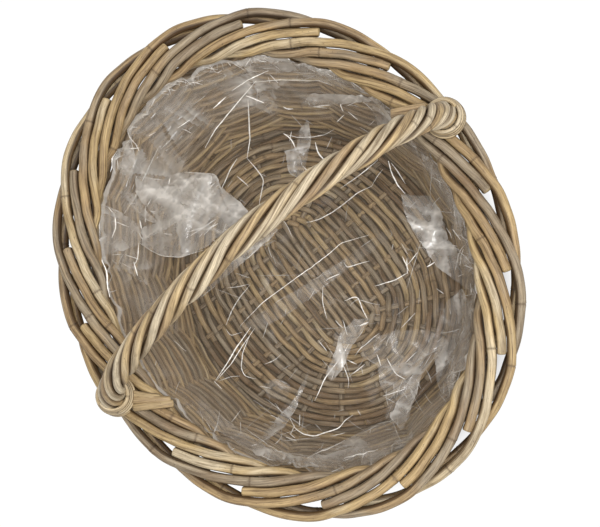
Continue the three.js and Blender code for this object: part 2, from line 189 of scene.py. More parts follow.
# One object from whole arrays: corners, the faces' corners and sizes, and named marks that each
# corner carries, a number or a vector. The faces are shaded smooth.
def makePiece(name, points, corners, sizes, marks, material):
    mesh = bpy.data.meshes.new(name)
    mesh.vertices.add(len(points))
    mesh.vertices.foreach_set("co", np.ascontiguousarray(points * toMetres, np.float32).ravel())
    mesh.loops.add(len(corners))
    mesh.loops.foreach_set("vertex_index", corners.astype(np.int32))
    mesh.polygons.add(len(sizes))
    starts = np.concatenate([[0], np.cumsum(sizes)[:-1]])
    mesh.polygons.foreach_set("loop_start", starts.astype(np.int32))
    mesh.polygons.foreach_set("loop_total", sizes.astype(np.int32))
    mesh.update(calc_edges=True)
    mesh.polygons.foreach_set("use_smooth", np.ones(len(sizes), bool))
    mesh.validate()
    for label, values in marks.items():
        values = np.ascontiguousarray(values, np.float32)
        kind, field = ("FLOAT_VECTOR", "vector") if values.ndim == 2 else ("FLOAT", "value")
        mesh.attributes.new(label, kind, "POINT").data.foreach_set(field, values.ravel())
    mesh.materials.append(material)
    piece = bpy.data.objects.new(name, mesh)
    bpy.context.scene.collection.objects.link(piece)
    return piece


# A new piece rides on the basket and stands for the solids that it was made from.
def placePiece(piece, slot, *nodes):
    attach(piece, "root")
    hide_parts(*nodes)


# What all canes share. Shares are of the cane's radius, and other sizes are millimetres.
caneForm = {
    "jointSpread": (0.55, 1.45),  # shares of the mean step from one joint to the next
    "jointShift": 0.3,  # share of that step by which all joints are moved back
    "jointClear": 6,  # from an end of the cane to its nearest joint
    "jointRings": (-3.2, -1.8, -1.0, -0.4, 0.2, 0.8, 1.6, 3.2),  # places of rings round a joint
    "leastStep": 0.25,
    "jointSwell": 0.085,
    "swellReach": 2.0,
    "jointNotch": 0.10,
    "notchReach": 0.45,
    "notchAt": 0.2,
    "knotReach": 0.9,
    "noJoint": 99.0,  # distance to a joint where a cane has none
    "swayWaves": (0.010, 0.045),  # waves in a millimetre
    "swayShare": 1.6,
    "slowSwell": 0.035,
    "slowWaves": (0.015, 0.04),  # radians in a millimetre
    "oval": 0.02,
    "endSteps": ((0.16, 0.97), (0.32, 0.88), (0.42, 0.72), (0.46, 0.40), (0.47, 0.06)),  # out and round
    "endCut": (0.0, 0.35, 0.8, 1.0, 1.0),  # how much of the cut face each of those rings shows
    "patternReach": 40000,  # how far along the pattern two canes may start apart
}


# Joints lie at uneven steps along a cane. Its rings lie at even steps, and closer at a joint.
def jointsAndStations(length, step, jointEvery, rng):
    tries = int(length / jointEvery * 2) + 2
    joints = np.cumsum(rng.uniform(*caneForm["jointSpread"], tries) * jointEvery)
    joints = joints[joints < length - caneForm["jointClear"]] - jointEvery * caneForm["jointShift"]
    joints = joints[joints > caneForm["jointClear"]]
    around = (joints[:, None] + np.array(caneForm["jointRings"])).ravel()
    stations = np.linspace(0, length, max(int(length / step), 3) + 1)
    stations = np.unique(np.clip(np.concatenate([stations, around]), 0, length))
    stations = stations[np.append(True, np.diff(stations) > caneForm["leastStep"])]
    stations[-1] = length
    return joints, stations


# Sideways sway of a cane in two directions: the mean of three slow sine waves each.
def swayAlong(stations, wobble, rng):
    waves = rng.uniform(*caneForm["swayWaves"], (2, 3)) * fullTurn
    starts = rng.uniform(0, fullTurn, (2, 3))
    return np.sin(stations[:, None, None] * waves + starts).mean(-1) * wobble * caneForm["swayShare"]


# Thickness along a cane: its radius with a bell-shaped swelling and a narrow notch at each joint,
# and one slow wave. The darkness of a joint is a bell curve too.
def thicknessAlong(stations, joints, radius, rng):
    near = stations[:, None] - joints if len(joints) else np.full((len(stations), 1), caneForm["noJoint"])
    notch = near - caneForm["notchAt"]
    swell = caneForm["jointSwell"] * np.exp(-(near / caneForm["swellReach"]) ** 2)
    swell = (swell - caneForm["jointNotch"] * np.exp(-(notch / caneForm["notchReach"]) ** 2)).sum(1)
    knot = np.exp(-(notch / caneForm["knotReach"]) ** 2).max(1)
    slow = caneForm["slowSwell"] * np.sin(stations * rng.uniform(*caneForm["slowWaves"]) + rng.uniform(0, 6))
    return radius * (1 + swell + slow), knot


# Both ends of a cane are rounded off by rings that step out along its path and close in.
def roundEnds(rings, tangent):
    middle, thick, side, other, _, _, stations = rings
    out, share = np.array(caneForm["endSteps"]).T
    count = len(out)
    tips = []
    for at, outward in ((0, -1), (-1, 1)):
        beyond = out * thick[at] * outward
        tip = (
            middle[at] + tangent[at] * beyond[:, None], thick[at] * share,
            np.tile(side[at], (count, 1)), np.tile(other[at], (count, 1)),
            np.zeros(count), np.array(caneForm["endCut"]), stations[at] + beyond,
        )
        tips.append(tip if outward > 0 else tuple(part[::-1] for part in tip))
    return [np.concatenate(parts) for parts in zip(tips[0], rings, tips[1])]


# A heap of tubes that becomes one mesh. Arrays are gathered here and joined once.
class Bundle:
    def __init__(self):
        self.points, self.quads, self.caps, self.marks = [], [], [], []
        self.count = 0

    # One cane: a ring of corners at each station, square to the path and turned by a reference
    # that never lies along it. A corner is the ring's middle plus cosine and sine of its angle
    # along two sides. One-sided canes are open on the side of the reference alone.
    def cane(self, path, reference, radius, tone, rng, sides, step, wobble, jointEvery, oneSided=False):
        run = runAlong(path)
        joints, stations = jointsAndStations(run[-1], step, jointEvery, rng)
        middle = atRuns(path, run, stations)
        tangent = unit(np.gradient(middle, stations, axis=0))
        side = unit(np.cross(tangent, unit(atRuns(reference, run, stations))))
        other = np.cross(side, tangent)
        sway = swayAlong(stations, wobble, rng)
        middle = middle + side * sway[:, :1] + other * sway[:, 1:]
        thick, knot = thicknessAlong(stations, joints, radius, rng)
        rings = (middle, thick, side, other, knot, np.zeros(len(stations)), stations)
        middle, thick, side, other, knot, cut, stations = roundEnds(rings, tangent)
        angle = np.arange(sides) / sides * fullTurn
        oval = 1 + caneForm["oval"] * np.sin(2 * angle + rng.uniform(0, 6))
        ring = (np.cos(angle) * oval)[:, None] * side[:, None]
        ring = ring + (np.sin(angle) * oval)[:, None] * other[:, None]
        count = len(stations)
        along = stations + rng.uniform(0, caneForm["patternReach"])
        pattern = np.stack([
            np.outer(thick, np.cos(angle)),
            np.outer(thick, np.sin(angle)),
            np.repeat(along[:, None], sides, 1),
        ], -1)
        facing = np.tile(np.sin(angle), count)
        self.points.append((middle[:, None] + ring * thick[:, None, None]).reshape(-1, 3))
        self.quads.append(wrappedQuads(count, sides) + self.count)
        first = np.arange(sides)
        self.caps.append(np.stack([first, (count - 1) * sides + first[::-1]]) + self.count)
        # The last mark is how far a side faces the reference, either way unless the cane is one-sided; the
        # material paints shade where it is low.
        self.marks.append(np.column_stack([
            pattern.reshape(-1, 3) * toMetres, np.repeat(knot, sides), np.repeat(cut, sides),
            np.full(count * sides, tone), facing if oneSided else np.abs(facing),
        ]))
        self.count += count * sides

    # Joins what was gathered into one object, with its surface coordinates as attributes.
    def build(self, name, material):
        quads = np.concatenate(self.quads)
        marks = np.concatenate(self.marks)
        capSizes = [np.full(len(cap), cap.shape[1]) for cap in self.caps]
        sizes = np.concatenate([np.full(len(quads), 4)] + capSizes)
        corners = np.concatenate([quads.ravel()] + [cap.ravel() for cap in self.caps])
        named = {"cane": marks[:, :3], "knot": marks[:, 3], "cut": marks[:, 4], "tone": marks[:, 5],
                 "open": marks[:, 6]}
        return makePiece(name, np.concatenate(self.points), corners, sizes, named, material)


# Colours are written as the eye sees them and turned into the shader's linear values.
def linear(red, green, blue):
    return [((c + 0.055) / 1.055) ** 2.4 if c > 0.04045 else c / 12.92 for c in (red, green, blue)] + [1.0]


# A material, its tree of nodes and the surface among them.
def newMaterial(name):
    material = bpy.data.materials.new(name)
    material.use_nodes = True
    return material, material.node_tree, material.node_tree.nodes["Principled BSDF"]


# A node of one kind, with settings of its own.
def addNode(tree, kind, **settings):
    node = tree.nodes.new(kind)
    for name, value in settings.items():
        setattr(node, name, value)
    return node


# A socket takes a value of its own, or the output of another node.
def feed(tree, socket, value):
    if isinstance(value, bpy.types.NodeSocket):
        tree.links.new(value, socket)
    else:
        socket.default_value = value


# A mark that a piece's corners carry.
def markOf(tree, name, output="Fac"):
    return addNode(tree, "ShaderNodeAttribute", attribute_name=name).outputs[output]


# A colour for each place from 0 to 1, blended between the stops.
def ramp(tree, factor, *stops):
    node = addNode(tree, "ShaderNodeValToRGB")
    node.color_ramp.elements[0].position, node.color_ramp.elements[0].color = stops[0]
    node.color_ramp.elements[1].position, node.color_ramp.elements[1].color = stops[-1]
    for position, color in stops[1:-1]:
        node.color_ramp.elements.new(position).color = color
    tree.links.new(factor, node.inputs["Fac"])
    return node.outputs["Color"]


# The first colour, blended with the second one by a factor.
def mixColor(tree, factor, first, second, blend="MIX"):
    node = addNode(tree, "ShaderNodeMix", data_type="RGBA", blend_type=blend)
    sockets = (node.inputs["Factor"], node.inputs[6], node.inputs[7])
    for socket, value in zip(sockets, (factor, first, second)):
        feed(tree, socket, value)
    return node.outputs[2]


# One operation on two values, held between 0 and 1 where it is clamped.
def mathNode(tree, operation, first, second=0.0, clamp=False):
    node = addNode(tree, "ShaderNodeMath", operation=operation, use_clamp=clamp)
    feed(tree, node.inputs[0], first)
    feed(tree, node.inputs[1], second)
    return node.outputs["Value"]


# The product of two values.
def times(tree, first, second):
    return mathNode(tree, "MULTIPLY", first, second)


# A noise's distance from its mean of a half.
def fromMean(tree, cloud):
    return mathNode(tree, "SUBTRACT", cloud, 0.5)


# Fractal noise from 0 to 1. A small stretch draws it out along that axis.
def noise(tree, vector, scale, detail, roughness, stretch):
    mapping = addNode(tree, "ShaderNodeMapping")
    mapping.inputs["Scale"].default_value = stretch
    tree.links.new(vector, mapping.inputs["Vector"])
    node = addNode(tree, "ShaderNodeTexNoise")
    node.inputs["Scale"].default_value = scale
    node.inputs["Detail"].default_value = detail
    node.inputs["Roughness"].default_value = roughness
    tree.links.new(mapping.outputs["Vector"], node.inputs["Vector"])
    return node.outputs["Fac"]


black = (0, 0, 0, 1)
white = (1, 1, 1, 1)

canePalette = {
    "grey": linear(0.58, 0.525, 0.44),
    "brown": linear(0.48, 0.385, 0.27),
    "tan": linear(0.61, 0.51, 0.365),
    "straw": linear(0.685, 0.59, 0.42),
    "pale": linear(0.74, 0.68, 0.57),
    "cutFace": linear(0.80, 0.71, 0.52),
    "stain": linear(0.30, 0.225, 0.14),
    "speck": linear(0.16, 0.11, 0.07),
    "paintedShade": linear(0.52, 0.46, 0.38),  # painted shade: multiplies the sides that neighbours hide
}

caneFinish = {
    # noises: scale per metre, detail, roughness and stretch, the last number along the cane
    "drift": (26, 2.0, 0.5, (1, 1, 0.45)),
    "patch": (90, 3.0, 0.6, (1, 1, 0.30)),
    "fibre": (560, 3.0, 0.65, (1, 1, 0.03)),
    "hair": (1500, 2.0, 0.6, (1, 1, 0.06)),
    "stain": (60, 4.0, 0.65, (1, 1, 0.5)),
    "speck": (800, 2.0, 0.5, (1, 1, 0.6)),
    "pore": (1500, 2.0, 0.5, (1, 1, 1)),
    "driftShare": 0.9,
    "patchShare": 0.55,
    "toneStops": (0.05, 0.30, 0.52, 0.74, 0.95),  # brown, grey, tan, straw and pale
    "fibreStops": (
        (0.32, (0.42, 0.37, 0.31, 1)),
        (0.46, (0.90, 0.89, 0.87, 1)),
        (0.66, (1.24, 1.24, 1.22, 1)),
    ),
    "hairStops": ((0.34, (0.66, 0.62, 0.57, 1)), (0.56, (1.08, 1.08, 1.08, 1))),
    "poreStops": ((0.40, (0.55, 0.50, 0.42, 1)), (0.60, white)),
    "stainStops": ((0.56, black), (0.74, white)),
    "speckStops": ((0.66, black), (0.74, white)),
    "stainCover": 0.55,
    "speckCover": 0.55,
    "knotCover": 0.62,
    "cutCover": 0.8,
    "patchRoughness": 0.22,
    "leastRoughness": -0.08,  # added to a cane's own roughness
    "specular": 0.42,
    "fibreRelief": 0.7,
    "hairRelief": 0.3,
    "bumpStrength": 0.75,
    "bumpDistance": 0.0006,  # metres
}


# Cane: a tone picks the colour and drifts along the rod, long streaks run with the fibre,
# stains and specks sit on it, joints are dark rings, and cut faces are pale and ringed. The sides
# that neighbours hide get a painted shade.
def caneMaterial(name, shade, grey, rough, shadeFade):
    material, tree, surface = newMaterial(name)
    cane = markOf(tree, "cane", "Vector")
    tone, knot, cut, openSide = (markOf(tree, mark) for mark in ("tone", "knot", "cut", "open"))
    kinds = ("drift", "patch", "fibre", "hair", "stain", "speck", "pore")
    drift, patch, fibre, hair, stain, speck, pore = (noise(tree, cane, *caneFinish[kind]) for kind in kinds)
    place = mathNode(tree, "ADD", tone, times(tree, fromMean(tree, drift), caneFinish["driftShare"]))
    place = mathNode(tree, "ADD", place, times(tree, fromMean(tree, patch), caneFinish["patchShare"]), True)
    tones = (canePalette[key] for key in ("brown", "grey", "tan", "straw", "pale"))
    color = ramp(tree, place, *zip(caneFinish["toneStops"], tones))
    color = mixColor(tree, 1.0, color, ramp(tree, fibre, *caneFinish["fibreStops"]), "MULTIPLY")
    color = mixColor(tree, 1.0, color, ramp(tree, hair, *caneFinish["hairStops"]), "MULTIPLY")
    stained = times(tree, ramp(tree, stain, *caneFinish["stainStops"]), caneFinish["stainCover"])
    color = mixColor(tree, stained, color, canePalette["stain"])
    specked = times(tree, ramp(tree, speck, *caneFinish["speckStops"]), caneFinish["speckCover"])
    color = mixColor(tree, specked, color, canePalette["speck"])
    color = mixColor(tree, times(tree, knot, caneFinish["knotCover"]), color, canePalette["stain"])
    face = mixColor(tree, 1.0, canePalette["cutFace"], ramp(tree, pore, *caneFinish["poreStops"]), "MULTIPLY")
    color = mixColor(tree, times(tree, cut, caneFinish["cutCover"]), color, face)
    # Painted shade: sides that face little outwards are darkened, fading out as they open, and cut faces keep
    # their colour.
    paintedShade = ramp(tree, openSide, (shadeFade[0], canePalette["paintedShade"]), (shadeFade[1], white))
    shadedColor = mixColor(tree, 1.0, color, paintedShade, "MULTIPLY")
    color = mixColor(tree, mathNode(tree, "SUBTRACT", 1.0, cut), color, shadedColor)
    balance = addNode(tree, "ShaderNodeHueSaturation")
    balance.inputs["Saturation"].default_value = 1.0 - grey
    balance.inputs["Value"].default_value = shade
    tree.links.new(color, balance.inputs["Color"])
    tree.links.new(balance.outputs["Color"], surface.inputs["Base Color"])
    uneven = times(tree, patch, caneFinish["patchRoughness"])
    roughness = mathNode(tree, "ADD", rough + caneFinish["leastRoughness"], uneven)
    tree.links.new(roughness, surface.inputs["Roughness"])
    surface.inputs["Specular IOR Level"].default_value = caneFinish["specular"]
    relief = times(tree, fibre, caneFinish["fibreRelief"])
    relief = mathNode(tree, "ADD", relief, times(tree, hair, caneFinish["hairRelief"]))
    bump = addNode(tree, "ShaderNodeBump")
    bump.inputs["Strength"].default_value = caneFinish["bumpStrength"]
    bump.inputs["Distance"].default_value = caneFinish["bumpDistance"]
    tree.links.new(relief, bump.inputs["Height"])
    tree.links.new(bump.outputs["Normal"], surface.inputs["Normal"])
    return material


# Camera: the photograph's view, fitted to the rim, the floor of the basket and the handle.
camera = {
    "azimuth": 29.5,  # degrees from +X towards +Y
    "elevation": 77.4,
    "roll": -62.3,
    "distance": 1200,
    "targetHeight": 170,
    "focalPixels": 1610,
    "imageWidth": 600,
    "imageHeight": 527,
    "aim": (-14.7, 3.3),  # how far right and up of the picture's middle the target appears
    "sensor": 36,
    "farthest": 20,  # metres
}


# An object at a place whose own X, Y and Z lie along three given directions.
def aimObject(name, data, right, up, back, place):
    item = bpy.data.objects.new(name, data)
    bpy.context.scene.collection.objects.link(item)
    turn = np.eye(4)
    turn[:3, :3] = np.stack([right, up, back], 1)
    turn[:3, 3] = place
    item.matrix_world = Matrix(turn.tolist())
    return item


# The camera looks back along a direction given by its azimuth and elevation. Its right and up
# are the level and the upright one turned by the roll.
def makeCamera():
    azimuth, elevation, roll = (math.radians(camera[k]) for k in ("azimuth", "elevation", "roll"))
    level = math.cos(elevation)
    back = np.array([math.cos(azimuth) * level, math.sin(azimuth) * level, math.sin(elevation)])
    aside = unit(np.cross([0, 0, 1], back))
    upright = np.cross(back, aside)
    right = math.cos(roll) * aside + math.sin(roll) * upright
    up = -math.sin(roll) * aside + math.cos(roll) * upright
    place = np.array([0, 0, camera["targetHeight"]]) + back * camera["distance"]
    place = (place - camera["aim"][0] * right - camera["aim"][1] * up) * toMetres
    data = bpy.data.cameras.new("camera")
    data.sensor_width = camera["sensor"]
    data.lens = camera["sensor"] * camera["focalPixels"] / camera["imageWidth"]
    data.clip_end = camera["farthest"]
    bpy.context.scene.camera = aimObject("camera", data, right, up, back, place)
    return right, up, back


viewRight, viewUp, viewBack = makeCamera()

# Sizes here are in metres.
studio = {
    "floorSize": 6.0,
    "floorColor": linear(0.66, 0.66, 0.66),
    "floorPaintedShadow": linear(0.44, 0.385, 0.32),  # painted shadow under the basket
    "floorRoughness": 0.9,
    "floorSpecular": 0.1,
    "floorGlow": 1.06,
    "glowShare": 0.96,
    "darkReach": (0.74, 1.02),  # shares of the rim between which the floor turns from the painted shadow to white
    "darkAside": 0.05,  # share of the rim by which that painted shadow lies to the picture's upper left
    "darkWay": (1.4, -1.0),  # the other way, as shares of the picture's right and up
    "skyLevels": (0.42, 0.95, 0.75),  # at the horizon, half way up and overhead
    "skyStops": (0.0, 0.55, 0.95),
    "lampAim": (0, 0, 0.1),
    "lampSide": (0.3, 0.9, 0.1),  # any direction that no lamp looks along
    "lampDistance": 1.5,
    # lamps: power, size, and how far to the picture's right and up they stand
    "lamps": {"keyLamp": (13.5, 0.45, 0.06, 0.04), "fillLamp": (5.0, 1.6, 0.9, -0.2)},
}


# One for rays from the camera and for mirrored ones, which see the white studio.
def seenDirectly(tree):
    path = addNode(tree, "ShaderNodeLightPath")
    return mathNode(tree, "MAXIMUM", path.outputs["Is Camera Ray"], path.outputs["Is Glossy Ray"])


# The floor is a pale diffuse plane; to the camera it is nearly all lamp, so it reads white. In an
# oval under the basket, whose share of the rim is the length of the scaled place, a shadow is
# painted: it is dark there and does not glow.
def makeFloor():
    half = studio["floorSize"] / 2
    mesh = bpy.data.meshes.new("floor")
    corners = [(-half, -half, 0), (half, -half, 0), (half, half, 0), (-half, half, 0)]
    mesh.from_pydata(corners, [], [(0, 1, 2, 3)])
    floor = bpy.data.objects.new("floor", mesh)
    bpy.context.scene.collection.objects.link(floor)
    material, tree, surface = newMaterial("paleFloor")
    surface.inputs["Roughness"].default_value = studio["floorRoughness"]
    surface.inputs["Specular IOR Level"].default_value = studio["floorSpecular"]
    glow = addNode(tree, "ShaderNodeEmission")
    glow.inputs["Strength"].default_value = studio["floorGlow"]
    right, up = studio["darkWay"]
    aside = unit((right * viewRight + up * viewUp)[:2]) * studio["darkAside"]
    halfRim = (basket["rimLength"] / 2 * toMetres, basket["rimWidth"] / 2 * toMetres)
    oval = addNode(tree, "ShaderNodeMapping")
    oval.inputs["Scale"].default_value = (1 / halfRim[0], 1 / halfRim[1], 1)
    oval.inputs["Location"].default_value = (aside[0], aside[1], 0)
    tree.links.new(addNode(tree, "ShaderNodeTexCoord").outputs["Object"], oval.inputs["Vector"])
    away = addNode(tree, "ShaderNodeVectorMath", operation="LENGTH")
    tree.links.new(oval.outputs["Vector"], away.inputs[0])
    outside = addNode(tree, "ShaderNodeMapRange", interpolation_type="SMOOTHSTEP")
    outside.inputs["From Min"].default_value, outside.inputs["From Max"].default_value = studio["darkReach"]
    tree.links.new(away.outputs["Value"], outside.inputs["Value"])
    # The painted shadow's colour inside the oval, the pale floor outside it.
    shade = mixColor(tree, outside.outputs["Result"], studio["floorPaintedShadow"], studio["floorColor"])
    tree.links.new(shade, surface.inputs["Base Color"])
    mix = addNode(tree, "ShaderNodeMixShader")
    glowing = times(tree, outside.outputs["Result"], studio["glowShare"])
    tree.links.new(times(tree, seenDirectly(tree), glowing), mix.inputs["Fac"])
    tree.links.new(surface.outputs["BSDF"], mix.inputs[1])
    tree.links.new(glow.outputs["Emission"], mix.inputs[2])
    tree.links.new(mix.outputs["Shader"], tree.nodes["Material Output"].inputs["Surface"])
    mesh.materials.append(material)


# A square lamp that looks at the middle of the basket from beside the camera's own direction.
def addLamp(name, power, size, right, up):
    data = bpy.data.lights.new(name, "AREA")
    data.energy, data.size = power, size
    away = unit(viewBack + right * viewRight + up * viewUp)
    aside = unit(np.cross(studio["lampSide"], away))
    place = away * studio["lampDistance"] + np.array(studio["lampAim"])
    aimObject(name, data, aside, np.cross(away, aside), away, place)


# The world is white to the camera. The light that it gives changes with the height of the sky.
def makeLight():
    world = bpy.data.worlds.new("studio")
    bpy.context.scene.world = world
    world.use_nodes = True
    tree = world.node_tree
    parts = addNode(tree, "ShaderNodeSeparateXYZ")
    tree.links.new(addNode(tree, "ShaderNodeTexCoord").outputs["Generated"], parts.inputs["Vector"])
    levels = ((level, level, level, 1) for level in studio["skyLevels"])
    upwards = mathNode(tree, "MAXIMUM", parts.outputs["Z"], 0.0)
    sky = ramp(tree, upwards, *zip(studio["skyStops"], levels))
    tree.links.new(mixColor(tree, seenDirectly(tree), sky, white), tree.nodes["Background"].inputs["Color"])
    for name, settings in studio["lamps"].items():
        addLamp(name, *settings)


makeFloor()
makeLight()
bpy.context.scene.view_settings.view_transform = "Standard"
print("camera, floor and lamps placed")

# shade, greyness, roughness, and the openness between which the painted shade on hidden sides fades
borderCane = caneMaterial("borderCane", 0.97, 0.02, 0.54, (0.05, 0.55))
handleCane = caneMaterial("handleCane", 1.06, 0.08, 0.54, (0.10, 0.72))
weaveCane = caneMaterial("weaveCane", 0.95, 0.08, 0.62, (0.0, 0.62))

border = {
    "seed": 11,
    "radius": 3.7,
    "jointEvery": 120,
    "sides": 14,
    "step": 3.0,
    "wobble": 0.22,
    "cutEnd": 5.70,
    "cutEndAtBow": 5.62,
    "bowEvery": 9,  # stakes from one foot of the bow to the other
    "topAgain": 4.5,  # pitches to where a rod comes up again
    "coreDepth": 14,
    "wallBelow": 22,  # depth under the rim at which a stake runs in the wall
    "wallBlend": 8,  # depth over which its open side turns there
    # how pale each rod is, from 0, dark brown, to 1, pale grey-straw
    "tones": (0.62, 0.30, 0.55, 0.82, 0.40, 0.70, 0.22, 0.60, 0.90, 0.35, 0.68, 0.48, 0.26, 0.75, 0.52, 0.32,
              0.85, 0.45),
}


# Place on top of the border: it crosses from the inner edge to the outer one at a steady slant.
def topLane(along, start):
    return (along, 2 * (along - start) / basket["crossing"] - 1, 0)


# Route of a stake in pitches along, half bands outwards and rod spacings up.
def stakeRoute(atBow):
    lane = -basket["wallInset"] / halfBand
    height = (rimLevel - basket["stakeFoot"]) / spacing
    foot, again = basket["stakeAt"], border["topAgain"]
    return [
        (foot, lane, -height), (foot, lane, -height * 0.6), (foot, lane, -4), (-0.93, -0.5, -3.3),
        (-0.83, -0.62, -2.3), (-0.57, -0.98, -1.36), (-0.28, -1.18, -0.68), (0.02, -0.97, -0.07),
        topLane(0.2, 0), topLane(1.48, 0), (1.8, 1.17, -0.08), (2.11, basket["edgeRun"], -0.37),
        (2.41, 1.15, -0.8), (2.72, 1.0, -1.12), (3.05, 0.84, -1.2), (3.4, 0.4, -1.24), (3.74, -0.5, -1.24),
        (4.04, -1.02, -1.07), (4.24, -1.2, -0.76), (again, -1.04, -0.14), topLane(again + 0.15, again),
        topLane(border["cutEndAtBow"] if atBow else border["cutEnd"], again),
    ]


# One rod: the smoothed route laid round the rim. Its open side looks away from the middle of the
# border's band, and down in the wall straight outwards.
def borderRod(number):
    rng = np.random.default_rng(border["seed"] + number)
    route = stakeRoute(number % border["bowEvery"] == 0)
    along, out, up = (smoothPath(np.array(route) * [pitch, halfBand, spacing])).T
    path, normal = rimPoints(along / pitch + number, out, rimLevel + up)
    core, _ = rimPoints(along / pitch + number, 0 * out, rimLevel - border["coreDepth"] + 0 * out)
    inWall = np.clip((-up - border["wallBelow"]) / border["wallBlend"], 0, 1)[:, None]
    openWay = unit(unit(path - core) * (1 - inWall) + normal * inWall)
    rod = Bundle()
    rod.cane(path, openWay, border["radius"], border["tones"][number], rng, border["sides"], border["step"],
             border["wobble"], border["jointEvery"], oneSided=True)
    piece = rod.build(f"border_rod_{number + 1:02d}", borderCane)
    placePiece(piece, "border_rattan", f"stake_{number + 1:02d}")


for number in range(basket["stakes"]):
    borderRod(number)
print("border plaited from", basket["stakes"], "rods")

weaving = {
    "seed": 40,
    "radius": 2.75,
    "radiusSpread": (0.93, 1.05),
    "waleShare": 0.98,  # radius of a waling rod, as a share
    "tones": (0.15, 0.75),
    "rowSpacing": 5.15,
    "rowStep": 3,  # between the places of a row's path
    "reach": 4.5,  # how far a row swings in and out past the stakes
    "sharpness": 1.2,
    "unevenness": 0.5,
    "unevenWaves": (0.5, 0.9),
    "endGap": 0.02,  # pitches
    "splitAfter": (3, 7),  # stakes that a row's first rod passes on the outside
    "splitShift": 0.05,  # pitches
    "waleLift": 0.24,  # share of the course by which a waling rod rises and falls
    "waleTurn": 0.37,  # turns by which one course is laid on from the last
    "footLevel": 1.3,
    "footBand": 18,
    "topBand": 12,
    "cane": (8, 6.0, 0.35, 130),  # sides, step, wobble and mean distance of joints
}


# One row of the wall from one pitch to another: it swings out past one stake and in past the
# next. The swing is a cosine whose crests are flattened, so that the row lies on the stakes.
def wallRow(bundle, height, start, end, period, phase, rng, radius, lift=0.0):
    start, end = start + weaving["endGap"], end - weaving["endGap"]
    along = np.linspace(start, end, int((end - start) * pitch / weaving["rowStep"]))
    turn = fullTurn * (along - basket["stakeAt"]) / period + phase
    sharp = weaving["sharpness"]
    outward = weaving["reach"] * np.tanh(sharp * np.cos(turn)) / math.tanh(sharp)
    wave = np.sin(along * rng.uniform(*weaving["unevenWaves"]) + rng.uniform(0, 6))
    level = height + lift * np.sin(turn) + weaving["unevenness"] * wave
    path, normal = rimPoints(along, outward - basket["wallInset"], level)
    tone = rng.uniform(*weaving["tones"])
    bundle.cane(path, normal, radius * rng.uniform(*weaving["radiusSpread"]), tone, rng, *weaving["cane"])


# Rows of one band, each made of two rods that meet on the inside of a stake.
def sideBand(name, low, high, seed):
    rng = np.random.default_rng(seed)
    rows = Bundle()
    count = max(round((high - low) / weaving["rowSpacing"]), 1)
    rise = (high - low) / count
    for row in range(count):
        height = low + rise * (row + 0.5)
        start = rng.integers(0, basket["stakes"] // 2) * 2 + weaving["splitShift"] + (row % 2 == 0)
        split = start + 2 * rng.integers(*weaving["splitAfter"])
        for first, last in ((start, split), (split, start + basket["stakes"])):
            wallRow(rows, height, first, last, 2, math.pi * (row % 2), rng, weaving["radius"])
    placePiece(rows.build(name + "_cane", weaveCane), "weave_rattan", name)


# A wale: three rods at a time, each passing outside two stakes and inside one, laid like a rope.
def waleBand(name, low, high, courses, seed):
    rng = np.random.default_rng(seed)
    rows = Bundle()
    rise = (high - low) / courses
    for course in range(courses):
        height = low + rise * (course + 0.5)
        for strand in range(3):
            phase = fullTurn * (strand / 3 + 1 / 6 + course * weaving["waleTurn"])
            start = rng.integers(0, basket["stakes"] // 3) * 3 + strand
            wallRow(rows, height, start, start + basket["stakes"], 3, phase, rng,
                    weaving["radius"] * weaving["waleShare"], rise * weaving["waleLift"])
    placePiece(rows.build(name + "_cane", weaveCane), "weave_rattan", name)


topBandFoot = wallTop - weaving["topBand"]
sideSplit = (weaving["footBand"] + topBandFoot) / 2
waleBand("foot_wale", weaving["footLevel"], weaving["footBand"], 2, weaving["seed"])
sideBand("side_weave_lower", weaving["footBand"], sideSplit, weaving["seed"] + 1)
sideBand("side_weave_upper", sideSplit, topBandFoot, weaving["seed"] + 2)
waleBand("top_wale", topBandFoot, wallTop, 1, weaving["seed"] + 3)
print("wall woven")

base = {
    "seed": 70,
    "turn": 5.5,  # degrees
    "edge": (129.0, 110.6),  # half axes of the outermost row
    "core": 46,  # half length of the straight middle
    "rows": 17,
    "rowSteps": 1440,
    "rowCut": (0.35, 0.65),  # shares of a row at which its two canes meet
    "rowWaves": (5, 9),  # waves of a row's sideways sway, in whole numbers below the second
    "firstShare": 0.135,  # share of the edge's oval in the innermost row
    "radius": 2.65,
    "radiusSpread": (0.88, 1.08),
    "rowTones": (0.2, 0.95),
    "paintedEdgeShade": 0.35,  # painted shade near the wall, taken off a row's tone at the edge
    "level": 7.6,
    "swing": 3.5,
    "sharpness": 1.6,
    "unevenness": 0.5,  # size of that sway
    "rowCane": (8, 5.0, 0.4, 95),  # sides, step, wobble and mean distance of joints
    "stickRadius": 2.25,
    "stickTones": (0.15, 0.5),
    "stickCane": (10, 5.0, 0.2, 90),
    "stickPoints": 30,  # from one corner to the next
    "shortSticks": (-22, 22),
    "shortLevels": (5.6, 4.9),  # at the ends and in the middle
    "shortMiddle": 30,
    "longSticks": 4,
    "longSpacing": 6.2,
    "longBend": (4, 10),  # how far before the core's end the fan's bend starts, and its length
    "longBetween": 0.4,  # share of the way from there to the end at which the level is given
    "longLevels": (10.0, 9.4, 7.8, 7.6),  # from the middle to the end
    "fanStep": 26,  # degrees between the sticks of a fan
    "sideAngles": (64, 87),  # degrees
    "sideLevels": (8.2, 7.8, 7.6),
    "sideSpacing": 9,
    "sideStart": 20.3,
}


# Plan turned about the upright axis by an angle.
def turned(points, degrees):
    angle = math.radians(degrees)
    cos, sin = math.cos(angle), math.sin(angle)
    x, y = points[:, 0], points[:, 1]
    return np.stack([x * cos - y * sin, x * sin + y * cos, points[:, 2]], 1)


# Where a line from a point along an angle meets the base's oval edge: the larger root of the
# quadratic for its length.
def reachEdge(start, angle):
    start, direction = np.asarray(start, float), wayAt(angle)
    scaledStart, scaledWay = start / base["edge"], direction / base["edge"]
    a, b, c = scaledWay @ scaledWay, scaledStart @ scaledWay, scaledStart @ scaledStart - 1
    return start + direction * (-b + math.sqrt(b * b - a * c)) / a


